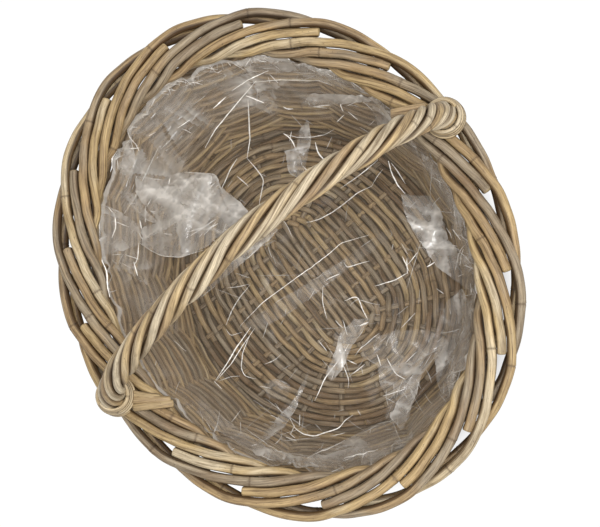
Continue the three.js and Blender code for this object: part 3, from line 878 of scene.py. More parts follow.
# Plan of the sticks in the base's own axes: a name, corners with their levels, and the straight
# legs along which rows cross the stick.
def stickPlans():
    plans = []
    atEnd, atMiddle = base["shortLevels"]
    for number, x in enumerate(base["shortSticks"]):
        end, near = reachEdge((x, 0), math.pi / 2)[1], base["shortMiddle"]
        corners = [(x, -end, atEnd), (x, -near, atMiddle), (x, near, atMiddle), (x, end, atEnd)]
        plans.append((f"base_short_stick_{number + 1}", corners, [((x, 0), (x, -end)), ((x, 0), (x, end))]))
    for number in range(base["longSticks"]):
        place = number - (base["longSticks"] - 1) / 2
        y, angle = base["longSpacing"] * place, math.radians(base["fanStep"] * place)
        end = reachEdge((base["core"], y), angle)
        before, length = base["longBend"]
        bend = np.array([base["core"] - before, y])
        spots = (bend, bend + length * wayAt(angle / 2), bend + base["longBetween"] * (end - bend), end)
        half = [(*spot, level) for spot, level in zip(spots, base["longLevels"])]
        legs = [((sign * base["core"], y), (sign * end[0], end[1])) for sign in (-1, 1)]
        plans.append((f"base_long_stick_{number + 1}", [(-x, y2, z) for x, y2, z in half[::-1]] + half, legs))
    quarters = ((1, 1), (1, -1), (-1, -1), (-1, 1))
    for number, sign in enumerate(quarter for quarter in quarters for _ in base["sideAngles"]):
        index = number % len(base["sideAngles"])
        start = np.array([base["core"] + base["sideSpacing"] * (0.5 - index), base["sideStart"]])
        end = reachEdge(start, math.radians(base["sideAngles"][index]))
        spots = [np.array(sign) * spot for spot in (start, (start + end) / 2, end)]
        corners = [(*spot, level) for spot, level in zip(spots, base["sideLevels"])]
        plans.append((f"base_side_stick_{number + 1}", corners, [(spots[0], spots[-1])]))
    return plans


# Where sticks cross a row: the steps at which the row passes from one side of a leg's line to
# the other, and of these the one nearest to the leg's end.
def rowCrossings(plan, plans):
    found = []
    for start, end in (leg for _, _, legs in plans for leg in legs):
        start, end = np.array(start, float), np.array(end, float)
        way = end - start
        off = way[0] * (plan[:, 1] - start[1]) - way[1] * (plan[:, 0] - start[0])
        ahead = (plan - start) @ way > -way @ way
        crossing = np.nonzero((np.diff(np.sign(off)) != 0) & ahead[1:])[0]
        if len(crossing):
            found.append(crossing[np.argmin(np.linalg.norm(plan[crossing] - end, axis=1))])
    return np.sort(np.array(found))


# A row is a blend of the straight core and the base's oval edge. It goes over one stick and
# under the next in a flattened cosine, and its neighbour does the opposite.
def baseRow(bundle, row, plans, rng):
    share = base["firstShare"] + (1 - base["firstShare"]) * row / (base["rows"] - 1)
    turn, steps = rng.uniform(0, fullTurn), base["rowSteps"]
    angle = np.linspace(turn, turn + fullTurn, steps + 1)
    x, y = base["edge"][0] * np.cos(angle), base["edge"][1] * np.sin(angle)
    plan = np.stack([(1 - share) * np.clip(x, -base["core"], base["core"]) + share * x, share * y], 1)
    found = rowCrossings(plan, plans)
    first = int(np.argmin(angle[found] % fullTurn))
    whole = np.concatenate([found - steps, found, found + steps])
    phase = np.interp(np.arange(steps + 1), whole, np.arange(len(whole)))
    wave = np.cos(math.pi * (phase - len(found) - first + row))
    level = base["level"] + base["swing"] * np.tanh(base["sharpness"] * wave) / math.tanh(base["sharpness"])
    sway = base["unevenness"] * np.sin(angle * rng.integers(*base["rowWaves"]) + rng.uniform(0, 6))
    path = turned(np.column_stack([plan + sway[:, None], level]), base["turn"])
    cut = int(rng.uniform(*base["rowCut"]) * steps)
    # Rows nearer the edge are darker by a painted shade near the wall.
    for part in (path[1:cut - 2], path[cut + 2:steps - 1]):
        bundle.cane(part, uprights(part), base["radius"] * rng.uniform(*base["radiusSpread"]),
                    rng.uniform(*base["rowTones"]) - base["paintedEdgeShade"] * share, rng, *base["rowCane"])


# The base: all of its rows are one mesh, and each stick is a cane along its smoothed corners.
def makeBase():
    rng = np.random.default_rng(base["seed"])
    plans = stickPlans()
    rows = Bundle()
    for row in range(base["rows"]):
        baseRow(rows, row, plans, rng)
    placePiece(rows.build("base_rows", weaveCane), "weave_rattan", "base_weave")
    for name, corners, _ in plans:
        stick = Bundle()
        path = turned(smoothPath(corners, base["stickPoints"]), base["turn"])
        stick.cane(path, uprights(path), base["stickRadius"], rng.uniform(*base["stickTones"]), rng,
                   *base["stickCane"])
        placePiece(stick.build(name + "_cane", weaveCane), "stick_rattan", name)


makeBase()
print("base woven")

handle = {
    "seed": 120,
    "rise": 136,
    "archFoot": 12,
    "roundness": 1.65,
    "offset": 7.6,
    "bend": 30,
    "depth": 76,
    "archPoints": 33,
    "bowSteps": 1200,
    "bowPoints": 24,  # from one place of its route to the next
    "bowRadius": 3.3,
    "bowTone": 0.6,
    "bowCane": (12, 4, 0.0, 150),  # sides, step, wobble and mean distance of joints
    "strandRadius": 3.2,
    "strandOrbit": 6.6,
    "strandCane": (14, 2.5, 0.15, 170),
    "strandClear": 1.0,  # above the rim
    # slow waves: size, radians for each millimetre, and how far the next strand's is shifted
    "strandTurn": (0.08, 0.02, 1.7),
    "strandWaves": ((0.27, 0.031, 2.1), (0.21, 0.083, 1.0)),
    "lead": 134,  # length of the bow that one turn of a strand takes
    "footLeads": (58, 90),  # at the right and the left foot
    "footReach": 42,
    "footInwards": 12,
    "footFlare": 1.6,
    "flareReach": 16,
    "tones": (0.86, 0.62, 0.95, 0.90, 0.66, 1.0),
    "collarRadius": 1.75,
    "collarTone": 0.85,
    "collarTurns": 4.25,
    "collarSteps": 200,
    "collarPoints": 4,  # from one of those steps to the next
    "collarRise": 3.6,  # from one turn to the next
    "collarFlare": 2.6,
    "collarCane": (10, 1.8, 0.1, 80),
    "stubRadius": 2.9,
    "stubLength": 27,
    "stubStart": 6,
    "stubShares": (0.0, 0.4, 0.75, 1.0),
    "stubLevels": (3.2, 3.4, 2.6, 0.6),
    "stubCane": (12, 2.5, 0.1, 40),
    "stubPoints": 12,
    "stubStretch": (0.85, 1.1),
    "stubTones": (0.4, 0.9),
    # rod ends that leave the collar: shares inwards and along the rim, and a step aside
    "stubs": ((0.80, 0.60, 9.0), (0.86, 0.50, 16.0), (0.70, 0.72, 2.0)),
    "stubCounts": (2, 3),  # at the right and the left foot
}


# The bow: from inside the wall, out between two border rods and over in a rounded arch, whose
# reach and rise are powers of cosine and sine. The second foot is the first one turned half way.
def bowPath():
    inset, offset, bend, depth = basket["wallInset"], handle["offset"], handle["bend"], handle["depth"]
    foot = np.array([
        (-inset, -depth), (-inset, -0.62 * depth), (-0.25 * inset, -bend), (0.37 * offset, -0.53 * bend),
        (0.63 * offset, -0.2 * bend), (0.9 * offset, handle["archFoot"] / 3),
    ])
    station = basket["bowStation"]
    low, normal = rimPoints(np.full(len(foot), station), foot[:, 0], rimLevel + foot[:, 1])
    start, _ = rimPoints(np.array([station]), np.array([offset]), rimLevel + handle["archFoot"])
    halfSpan = np.linalg.norm(start[0, :2])
    span = np.append(start[0, :2] / halfSpan, 0)
    angle = np.linspace(0, math.pi, handle["archPoints"])
    power = 2 / handle["roundness"]
    reach = halfSpan * np.sign(np.cos(angle)) * np.abs(np.cos(angle)) ** power
    rise = handle["archFoot"] + (handle["rise"] - handle["archFoot"]) * np.abs(np.sin(angle)) ** power
    arch = reach[:, None] * span + np.stack([0 * angle, 0 * angle, rimLevel + rise], 1)
    path = smoothPath(np.concatenate([low, arch, (low * [-1, -1, 1])[::-1]]), handle["bowPoints"])
    run = runAlong(path)
    even = np.linspace(0, run[-1], handle["bowSteps"] + 1)
    return atRuns(path, run, even), even, span, normal[0]


# Turns of the strands up to each place along the bow: the sum of one over the lead, which is
# shorter near both feet.
def strandTurns(run, feet):
    ends = (feet[0] + handle["footInwards"], feet[1] - handle["footInwards"])
    rates = 1 / handle["lead"] + sum(
        (1 / lead - 1 / handle["lead"]) * np.exp(-((run - end) / handle["footReach"]) ** 2)
        for lead, end in zip(handle["footLeads"], ends)
    )
    return np.concatenate([[0], np.cumsum((rates[1:] + rates[:-1]) / 2 * np.diff(run))])


# A slow sine wave along the bow, shifted from strand to strand.
def strandWave(run, number, size, rate, shift):
    return size * np.sin(run * rate + number * shift)


# The bow, and strands that orbit it at even angles and flare at its feet. Slow waves move them
# round and out a little, so that no two lie alike.
def makeHandle():
    rng = np.random.default_rng(handle["seed"])
    path, run, span, outward = bowPath()
    acrosses = np.tile([-span[1], span[0], 0], (len(path), 1))
    bow = Bundle()
    bow.cane(path, acrosses, handle["bowRadius"], handle["bowTone"], rng, *handle["bowCane"])
    placePiece(bow.build("handle_bow_cane", handleCane), "handle_rattan", "handle_bow")
    square = np.cross(unit(np.gradient(path, run, axis=0)), acrosses)
    above = np.nonzero(path[:, 2] > basket["rimHeight"] + handle["strandClear"])[0]
    first, last = above[0], above[-1]
    turns = strandTurns(run, (run[first], run[last]))
    edge = np.minimum(run - run[first], run[last] - run)
    flare = handle["footFlare"] * np.exp(-np.maximum(edge, 0) / handle["flareReach"])
    for number, tone in enumerate(handle["tones"]):
        angle = fullTurn * (number / len(handle["tones"]) + turns[len(run) // 2] - turns)
        angle = angle + strandWave(run, number, *handle["strandTurn"])
        waves = sum(strandWave(run, number, *wave) for wave in handle["strandWaves"])
        radius = handle["strandOrbit"] + waves + flare
        radial = np.cos(angle)[:, None] * acrosses + np.sin(angle)[:, None] * square
        strand = path + radial * radius[:, None]
        piece = Bundle()
        piece.cane(strand[first:last + 1], radial[first:last + 1], handle["strandRadius"], tone, rng,
                   *handle["strandCane"], oneSided=True)
        name = f"handle_strand_{number + 1}"
        placePiece(piece.build(name + "_cane", handleCane), "handle_rattan", name)
    makeCollars(path, outward, rng)


# A collar: a thin cane wound in a helix round the foot of the bow, flaring a little downwards,
# and stubs of rods that leave it over the border.
def makeCollars(path, outward, rng):
    bottom = basket["rimHeight"] + basket["seat"] + handle["collarRadius"]
    orbit = handle["strandOrbit"] + handle["strandRadius"] + handle["collarRadius"]
    turns = np.linspace(handle["collarTurns"], 0, handle["collarSteps"])
    height = bottom + handle["collarRise"] * turns
    rising = path[:len(path) // 2]
    middle = np.stack([np.interp(height, rising[:, 2], rising[:, k]) for k in (0, 1)], 1)
    angle = -fullTurn * turns
    radius = orbit + handle["collarFlare"] * (1 - turns / handle["collarTurns"])
    inward, along = -outward[:2], np.array([-outward[1], outward[0]])
    ring = radius[:, None] * (np.cos(angle)[:, None] * along + np.sin(angle)[:, None] * inward)
    winding = np.column_stack([middle + ring, height])
    drop = bottom + np.array(handle["stubLevels"])
    for side, place, count in zip((1, -1), ("right", "left"), handle["stubCounts"]):
        collar = Bundle()
        line = smoothPath(winding * [side, side, 1], handle["collarPoints"])
        collar.cane(line, uprights(line), handle["collarRadius"], handle["collarTone"], rng,
                    *handle["collarCane"])
        for inShare, alongShare, aside in handle["stubs"][:count]:
            way = inShare * inward + alongShare * along
            start = middle[-1] + aside * along + handle["stubStart"] * inward
            reach = np.array(handle["stubShares"])[:, None] * handle["stubLength"]
            reach = reach * rng.uniform(*handle["stubStretch"])
            places = np.column_stack([start + reach * way, drop]) * [side, side, 1]
            stub = smoothPath(places, handle["stubPoints"])
            collar.cane(stub, uprights(stub), handle["stubRadius"], rng.uniform(*handle["stubTones"]), rng,
                        *handle["stubCane"])
        name = f"handle_collar_{place}"
        placePiece(collar.build(name + "_cane", handleCane), "handle_rattan", name)


makeHandle()
print("handle laid")

# Pixels are the photograph's here and below.
film = {
    "seed": 300,
    "floor": 15.2,
    "wallGap": 1.7,
    "hem": 156.5,
    "hemReach": -2.2,
    "leanFrom": 30,  # depth under the wall's top at which the film starts to lean out
    "leanOver": 24,
    "floorRows": 62,
    "wallRows": 96,
    "columns": 600,
    "cornerRows": (12, 10),  # rows of the floor and of the wall that the round corner takes
    "cornerRounds": 14,
    "flat": (0.58, 0.53),  # metres
    "flatArea": 0.235,  # square metres, with the corners cut round
    "floorHaze": 0.055,
    "wallHaze": 0.10,
    "wallFade": (6, 50),  # height over the floor at which the wall's haze starts, and its rise
    "hemHaze": 0.30,
    "hemFade": (9, 3),  # depth under the hem at which its haze starts, and its rise
    # Painted glare: more haze over the middle of the floor, which lightens it.
    "middleGlareHaze": 0.05,
    "middleReach": 75,
    "cloudHaze": 0.07,
    "cloudTop": (340, 110),  # pixels: clouds start above this row and are full so far above it
    "cloudRight": (350, 70),  # pixels: the same to the right of a column
    "veilOnFloor": 0.3,  # shares of the veil that are left on the floor and where it isn't cloudy
    "veilInClear": 0.35,
    "searchStep": 6,  # corners between those that a search looks at first
    "searchCount": 6,
    "searchEven": 0.3,  # pixels added to a distance before it weighs
}

# Angles round the oval are radians, and a lean is radians for each millimetre down.
crumples = {
    "ridges": 260,
    "ridgeReach": (14, 70),
    "ridgeWidth": (5, 16),
    "ridgeRise": (0.6, 2.6),
    "ridgeVeil": (0.0, 0.14),
    "gathers": 64,
    "gatherWidth": (0.018, 0.06),
    "gatherRise": (1.0, 4.0),
    "gatherReach": (25, 130),
    "gatherLean": (-0.0012, 0.0012),
    "streaks": 130,
    "streakWidth": (0.02, 0.11),
    "streakTop": (0, 50),
    "streakReach": (15, 110),
    "streakLean": (-0.003, 0.003),
    "streakVeil": (0.03, 0.26),
    "streakSharpness": 1.5,
    "streakFades": (4, 30),  # at its upper and its lower end
}

creaseForm = {
    "step": 1.6,  # pixels between the stations of a crease
    "leastStations": 5,
    "jitter": 0.10,  # pixels
    "smoothRounds": 3,
    "lift": 1.3,
    "ridge": 0.35,  # by which the middle line stands over both edges
    "halfWidth": (0.40, 0.62),
    "faintWidth": 0.25,  # share of the width that the faintest crease keeps
    "endShare": 0.04,
    "unevenWidth": (0.7, 1.25),
    "unevenHaze": (0.75, 1.0),
    "randomCount": 105,
    "randomRows": (0.12, 0.97),  # shares of the rows from the middle to the hem
    "randomBias": 0.7,
    "randomLength": (4, 20),  # pixels
    "randomBend": 0.22,  # radians
    "randomStrength": (0.12, 0.42),
    "crimps": 80,
    "crimpedLeft": (238, 178),  # pixels: the hem is crimped left of and above this place
    "crimpedTop": (350, 90),  # pixels: and to the right of it, left of and above this one
    "crimpFoot": (5, 15),  # rows under the hem
    "crimpHead": (2, 5),
    "crimpShift": (-5, 6),  # columns
    "crimpStrength": (0.1, 0.45),
}

# Sizes are pixels, but for the two lifts and the highest one.
foldForm = {
    "net": 2.2,  # between the corners of a folded part
    "netJitter": 0.3,  # share of the net
    "rimStep": 4,
    "leastRim": 8,
    "rimJitter": 0.4,
    "mergeWithin": 1e-4,
    "shade": 0.42,
    "lift": 1.8,
    "pleatLift": 1.6,
    "highest": 5,
    "knots": 4,
    "knotSpread": 6,
    "pleats": 17,
    "pleatStart": 0.35,  # share of the pleats that the smallest part has
    "pleatReachOf": 50,  # reach of a part that adds all of them once
    "pleatTurn": 0.15,  # radians
    "pleatShift": 2,
    "pleatReach": (0.25, 1.1),  # shares of the part's own reach
    "pleatWidth": (4, 16),
    "pleatStrength": (0.1, 0.75),
    "pleatEnd": 1.6,
    "creasedShare": 0.55,
    "creasePlaces": (-1, 0.1, 1),  # shares of a crease's reach, at its ends and its bend
    "creaseReach": (0.25, 0.8),  # shares of the pleat's reach
    "creaseInside": 2.5,  # nets
    "creaseStrength": 0.8,
    "creaseHaze": 0.2,
    "creaseJitter": 0.8,
    "strokes": 1.0,  # short creases per pixel of a part's reach, at full haze
    "strokeTurn": 0.8,  # radians
    "strokeLength": (5, 17),
    "strokeStrength": (0.1, 1.0),
    "strokeBias": 1.5,
    "strokeHaze": 0.3,
    "edgeEvery": 45,
    "edgeLength": (10, 20),
    "edgePlaces": 4,
    "edgeStrength": (0.15, 0.6),
}

# What the photograph shows of the film, in its pixels: the ends and bends of the bright creases,
# each with a strength from 0 to 1.
creaseTraces = [
    (0.9, (232, 91), (248, 80), (268, 71)),
    (1.0, (205, 148), (215, 130), (240, 100), (256, 81)),
    (0.9, (246, 96), (264, 103)),
    (0.9, (248, 100), (249, 120), (250, 140), (247, 158)),
    (0.6, (247, 158), (258, 171), (264, 180), (260, 200), (259, 206)),
    (0.5, (152, 188), (152, 197), (147, 207)),
    (0.5, (248, 83), (280, 80), (322, 81)),
    (0.7, (237, 159), (231, 168), (225, 182), (221, 190)),
    (0.6, (219, 184), (200, 207), (180, 230)),
    (0.7, (216, 219), (200, 230), (190, 236)),
    (0.7, (216, 222), (210, 229), (204, 235)),
    (0.8, (109, 208), (115, 215), (116, 228), (112, 238)),
    (0.6, (92, 212), (95, 225), (96, 240)),
    (0.8, (91, 255), (92, 270), (94, 290), (98, 302)),
    (0.5, (140, 243), (150, 250), (162, 256), (180, 257), (204, 250)),
    (0.7, (139, 243), (138, 258), (135, 264)),
    (0.8, (134, 262), (138, 276)),
    (0.6, (178, 128), (190, 120)),
    (0.8, (213, 109), (226, 97)),
    (0.4, (160, 150), (173, 138)),
    (0.6, (122, 134), (130, 139), (137, 146)),
    (0.6, (98, 168), (104, 158), (113, 152)),
    (0.9, (283, 133), (292, 140), (296, 150)),
    (0.6, (284, 134), (298, 138), (313, 137), (324, 135), (334, 130)),
    (0.7, (340, 104), (343, 112)),
    (0.8, (344, 115), (337, 122)),
    (0.6, (348, 112), (358, 120)),
    (1.0, (315, 142), (318, 153), (325, 161)),
    (0.6, (313, 107), (322, 106), (330, 105)),
    (0.8, (283, 107), (288, 110), (293, 109)),
    (0.5, (283, 220), (288, 227), (292, 237)),
    (0.8, (240, 326), (262, 303), (277, 292), (300, 275), (318, 262), (330, 253), (341, 243), (369, 235)),
    (0.6, (306, 223), (320, 219), (333, 212), (345, 203), (357, 193), (372, 186)),
    (0.5, (372, 186), (376, 178), (383, 169)),
    (0.6, (341, 188), (360, 175), (378, 160)),
    (1.0, (388, 161), (392, 174), (398, 186), (405, 194)),
    (0.6, (391, 163), (398, 172), (405, 184)),
    (0.6, (344, 262), (346, 268), (358, 264), (369, 261)),
    (0.7, (375, 286), (395, 280), (407, 273)),
    (0.7, (326, 280), (334, 276), (340, 274)),
    (0.5, (323, 285), (322, 300), (325, 312), (327, 320)),
    (0.8, (345, 301), (353, 297), (358, 297), (362, 308), (368, 320)),
    (0.5, (349, 306), (357, 299), (370, 303), (380, 305)),
    (1.0, (360, 326), (368, 322)),
    (0.6, (357, 352), (368, 342), (379, 333)),
    (0.9, (349, 344), (344, 352), (338, 361), (325, 378), (315, 400)),
    (0.6, (342, 362), (349, 380), (348, 388)),
    (0.7, (377, 354), (381, 366)),
    (0.9, (387, 358), (393, 370), (398, 376), (405, 379)),
    (0.6, (405, 363), (416, 352)),
    (0.4, (397, 315), (408, 306)),
    (0.5, (401, 328), (415, 313)),
    (0.9, (427, 267), (435, 262)),
    (0.6, (455, 270), (459, 252), (465, 243), (474, 233)),
    (0.9, (478, 278), (484, 286), (491, 293)),
    (0.7, (419, 241), (432, 248)),
    (0.5, (446, 228), (452, 238)),
    (0.7, (383, 396), (395, 392), (405, 389)),
    (0.7, (446, 378), (452, 372)),
    (0.8, (290, 418), (295, 428), (303, 434), (314, 436), (330, 431), (339, 428), (345, 420), (353, 415)),
    (0.6, (343, 458), (362, 453), (378, 449)),
    (0.7, (375, 470), (381, 462), (386, 455)),
    (0.5, (307, 458), (330, 448), (345, 440)),
    (0.6, (442, 412), (450, 421)),
    (0.6, (227, 288), (236, 287), (250, 284)),
    (0.6, (250, 285), (240, 297), (232, 310), (226, 325)),
    (0.5, (226, 329), (230, 336), (242, 332)),
    (0.8, (251, 327), (238, 345), (226, 365), (216, 380)),
    (0.7, (255, 328), (243, 345), (231, 364), (216, 381)),
    (0.6, (214, 381), (222, 389)),
    (0.5, (219, 381), (232, 376), (240, 376)),
    (0.6, (250, 335), (243, 352), (241, 368), (245, 376), (256, 379)),
    (0.5, (265, 364), (275, 360), (281, 354)),
    (0.6, (318, 340), (327, 351)),
    (0.4, (268, 322), (263, 338)),
    (0.9, (340, 50), (333, 58), (333, 70)),
    (0.5, (340, 61), (355, 67), (370, 75)),
    (0.7, (291, 46), (298, 53)),
    (0.6, (262, 43), (280, 44), (292, 46)),
]

# Folded-over parts of the film, as outlines in the photograph's pixels with a haze.
foldTraces = [
    (0.64, (135, 176), (160, 180), (182, 172), (216, 174), (222, 188), (238, 200), (250, 212), (236, 224),
     (222, 234), (205, 248), (180, 258), (160, 255), (142, 245), (141, 228), (158, 222), (148, 208),
     (137, 196)),
    (0.34, (182, 178), (206, 178), (216, 194), (200, 220), (186, 236), (172, 228), (170, 205)),
    (0.44, (92, 212), (98, 203), (120, 212), (142, 226), (142, 244), (125, 250), (95, 258), (87, 240)),
    (0.36, (124, 148), (131, 140), (136, 160), (130, 188), (140, 205), (159, 223), (148, 221), (130, 205),
     (119, 180)),
    (0.46, (402, 195), (430, 196), (440, 210), (448, 240), (470, 262), (480, 284), (476, 298), (455, 280),
     (437, 268), (425, 250), (412, 230), (404, 212)),
    (0.29, (377, 336), (400, 330), (430, 330), (449, 341), (445, 350), (430, 362), (420, 378), (415, 398),
     (403, 430), (385, 418), (388, 400), (380, 385), (378, 365), (360, 355), (362, 342)),
    (0.38, (421, 374), (412, 374), (405, 386), (398, 400), (389, 416), (402, 430), (413, 402)),
    (0.42, (354, 319), (371, 318), (362, 332), (352, 345), (345, 365), (332, 382), (325, 374), (336, 350),
     (338, 335)),
    (0.30, (307, 457), (345, 440), (372, 425), (392, 420), (400, 440), (412, 454), (395, 466), (368, 474),
     (340, 479), (315, 470)),
    (0.26, (300, 105), (310, 94), (345, 95), (375, 98), (403, 99), (398, 108), (370, 103), (340, 104),
     (315, 108)),
    (0.30, (285, 152), (296, 148), (300, 130), (308, 118), (311, 140), (306, 165), (300, 178), (289, 174)),
    (0.28, (438, 322), (448, 300), (462, 288), (471, 312), (468, 345), (460, 380), (444, 398), (436, 380),
     (434, 350)),
    (0.34, (198, 300), (222, 280), (248, 258), (280, 230), (272, 226), (240, 252), (215, 275), (195, 290)),
    (0.27, (196, 412), (215, 428), (240, 444), (270, 459), (300, 467), (330, 465), (362, 454), (360, 444),
     (328, 454), (298, 456), (270, 447), (242, 432), (216, 412), (200, 398)),
    (0.26, (258, 440), (275, 420), (290, 405), (300, 388), (310, 368), (305, 386), (296, 408), (285, 425),
     (264, 442)),
    (0.16, (262, 385), (276, 378), (292, 386), (285, 400), (268, 398)),
    (0.13, (236, 330), (280, 300), (340, 262), (388, 228), (394, 234), (350, 268), (300, 305), (262, 330)),
    (0.22, (120, 122), (150, 100), (190, 84), (228, 74), (205, 96), (180, 116), (150, 130), (128, 138)),
    (0.20, (236, 60), (270, 50), (310, 62), (350, 78), (385, 92), (340, 88), (290, 72), (250, 72)),
    (0.22, (420, 150), (440, 168), (458, 196), (470, 226), (456, 214), (440, 188), (424, 168)),
]


# The film's undisturbed surface: over the rows of the base, round the corner and up the wall to
# the hem, where a smooth step leads it out under the border. Rows run outwards and columns run
# round the oval. The corner is rounded by taking each row's mean with its neighbours many times.
def filmSurface():
    angle = np.arange(film["columns"]) / film["columns"] * fullTurn
    onWall = -(weaving["reach"] + weaving["radius"] + film["wallGap"])
    atBorder = basket["wallInset"] - basket["edgeRun"] * halfBand - basket["rodRadius"] - film["hemReach"]
    height = film["floor"] + (film["hem"] - film["floor"]) * np.linspace(0, 1, film["wallRows"])
    near = np.clip((height - (wallTop - film["leanFrom"])) / film["leanOver"], 0, 1)
    offset = onWall + (atBorder - onWall) * near * near * (3 - 2 * near)
    share = np.linspace(0, 1, film["floorRows"], endpoint=False)
    reachX, reachY = (
        np.concatenate([share * (half[0] + offset[0]), half + offset]) for half in wallHalfAxes(height))
    level = np.concatenate([np.full(film["floorRows"], film["floor"]), height])
    surface = np.stack([
        np.outer(reachX, np.cos(angle)),
        np.outer(reachY, np.sin(angle)),
        np.repeat(level[:, None], film["columns"], 1),
    ], -1)
    onFloor, upWall = film["cornerRows"]
    corner = slice(film["floorRows"] - onFloor, film["floorRows"] + upWall)
    for _ in range(film["cornerRounds"]):
        inner = surface[1:-1]
        inner[corner] = (surface[:-2][corner] + surface[2:][corner] + 2 * inner[corner]) / 4
    return angle, surface


# Inward normals: the cross product of the slopes along rows and columns.
def surfaceNormals(surface):
    along = np.gradient(surface, axis=0)
    around = (np.roll(surface, -1, 1) - np.roll(surface, 1, 1)) / 2
    around[0] = around[1]
    return unit(np.cross(around, along) * -1)


# Signed difference of two angles, from minus half a turn to half a turn.
def turnBetween(angle, other):
    return (angle - other + math.pi) % fullTurn - math.pi


# Crumple: tent-shaped ridges at random places, gathers that run down from the hem, and hazy
# streaks that do so with one sharp side. All are laid out on the flat sheet, where a place is a
# distance from the middle in a direction. A tent falls evenly to both sides and both ends.
def crumple(surface, angle, rng):
    step = np.linalg.norm(np.diff(surface, axis=0), axis=2)
    far = np.concatenate([np.zeros((1, surface.shape[1])), np.cumsum(step, axis=0)])
    flat = np.stack([far * np.cos(angle), far * np.sin(angle)], -1)
    lift, veil = np.zeros(far.shape), np.zeros(far.shape)
    edge = float(far[-1].mean())
    for _ in range(crumples["ridges"]):
        place = rng.normal(0, 1, 2)
        place *= edge * math.sqrt(rng.uniform(0.0, 1.0)) / np.linalg.norm(place)
        forward = wayAt(rng.uniform(0, math.pi))
        along, across = (flat - place) @ forward, (flat - place) @ leftOf(forward)
        reach, width = rng.uniform(*crumples["ridgeReach"]), rng.uniform(*crumples["ridgeWidth"])
        tent = np.clip(1 - np.abs(across) / width, 0, 1) * np.clip(1 - np.abs(along) / reach, 0, 1)
        lift += rng.uniform(*crumples["ridgeRise"]) * tent
        veil += rng.uniform(*crumples["ridgeVeil"]) * tent * (across > 0)
    down = far[-1] - far
    for _ in range(crumples["gathers"]):
        centre, width = rng.uniform(0, fullTurn), rng.uniform(*crumples["gatherWidth"])
        depth, reach = rng.uniform(*crumples["gatherRise"]), rng.uniform(*crumples["gatherReach"])
        off = turnBetween(angle + rng.uniform(*crumples["gatherLean"]) * down, centre)
        lift += depth * np.clip(1 - np.abs(off) / width, 0, 1) * np.clip(1 - down / reach, 0, 1)
    starts, stops = crumples["streakFades"]
    for _ in range(crumples["streaks"]):
        centre, width = rng.uniform(0, fullTurn), rng.uniform(*crumples["streakWidth"])
        top, reach = rng.uniform(*crumples["streakTop"]), rng.uniform(*crumples["streakReach"])
        off = turnBetween(angle + rng.uniform(*crumples["streakLean"]) * down, centre) / width
        band = np.where(np.abs(off) < 1, (off + 1) / 2, 0) ** crumples["streakSharpness"]
        ends = np.clip((down - top) / starts, 0, 1) * np.clip((top + reach - down) / stops, 0, 1)
        veil += rng.uniform(*crumples["streakVeil"]) * band[..., ::rng.choice((-1, 1))] * ends
    return lift, veil, far


# Pixel of a point in the photograph: from the picture's middle, the point's place along the
# camera's right and up, times the focal length over its depth.
def toPixels(points):
    away = points - np.array([0, 0, camera["targetHeight"]]) - viewBack * camera["distance"]
    depth = -(away @ viewBack)
    x = camera["imageWidth"] / 2 + camera["focalPixels"] * (away @ viewRight + camera["aim"][0]) / depth
    y = camera["imageHeight"] / 2 - camera["focalPixels"] * (away @ viewUp + camera["aim"][1]) / depth
    return np.stack([x, y], -1)


# Finds the film under pixels of the photograph: first the nearest of every few corners, then the
# mean of the nearest ones round it, weighed by the inverse of their distance.
class FilmFinder:
    def __init__(self, surface):
        self.surface = surface
        self.pixels = toPixels(surface)

    def at(self, wanted):
        wanted = np.asarray(wanted, float)
        every, count = film["searchStep"], film["searchCount"]
        rows, columns = self.pixels.shape[:2]
        coarse = self.pixels[::every, ::every]
        gap = np.linalg.norm(wanted[:, None] - coarse.reshape(1, -1, 2), axis=-1)
        row, column = np.divmod(gap.argmin(1), coarse.shape[1])
        around = np.arange(-every, every + 1)
        row = np.clip((row * every)[:, None, None] + around[:, None], 0, rows - 1)
        column = ((column * every)[:, None, None] + around) % columns
        gap = np.linalg.norm(self.pixels[row, column] - wanted[:, None, None], axis=-1)
        gap = gap.reshape(len(wanted), -1)
        places = self.surface[row, column].reshape(len(wanted), -1, 3)
        nearest = np.argpartition(gap, count, axis=1)[:, :count]
        weight = 1 / (np.take_along_axis(gap, nearest, 1) + film["searchEven"])
        chosen = np.take_along_axis(places, nearest[..., None], 1)
        return (chosen * weight[..., None]).sum(1) / weight.sum(1)[:, None]


# Creases are thin ribbons along the film that face the camera of the photograph: three lines of
# corners each, whose half width is the root of a half sine wave along the crease.
def creaseRibbons(finder, traces, rng):
    points, corners, haze, count = [], [], [], 0
    faint, end = creaseForm["faintWidth"], creaseForm["endShare"]
    for strength, *line in traces:
        line = np.array(line, float)
        run = runAlong(line)
        size = max(int(run[-1] / creaseForm["step"]), creaseForm["leastStations"])
        stations = np.linspace(0, run[-1], size)
        middle = finder.at(atRuns(line, run, stations) + rng.normal(0, creaseForm["jitter"], (size, 2)))
        for _ in range(creaseForm["smoothRounds"]):
            middle[1:-1] = (middle[:-2] + middle[2:] + 2 * middle[1:-1]) / 4
        middle = middle + viewBack * creaseForm["lift"]
        side = unit(np.cross(unit(np.gradient(middle, axis=0)), viewBack))
        bulge = np.sin(math.pi * np.clip(stations / run[-1], end, 1 - end)) ** 0.5
        width = rng.uniform(*creaseForm["halfWidth"]) * (faint + (1 - faint) * strength) * bulge
        reach = side * (width * rng.uniform(*creaseForm["unevenWidth"], size))[:, None]
        points += [middle - reach, middle + viewBack * creaseForm["ridge"], middle + reach]
        for lane in range(2):
            first = count + lane * size + np.arange(size - 1)
            corners.append(np.stack([first, first + size, first + size + 1, first + 1], 1))
        haze.append(np.tile(strength * rng.uniform(*creaseForm["unevenHaze"], size), 3))
        count += 3 * size
    return np.concatenate(points), np.concatenate(corners), np.concatenate(haze)


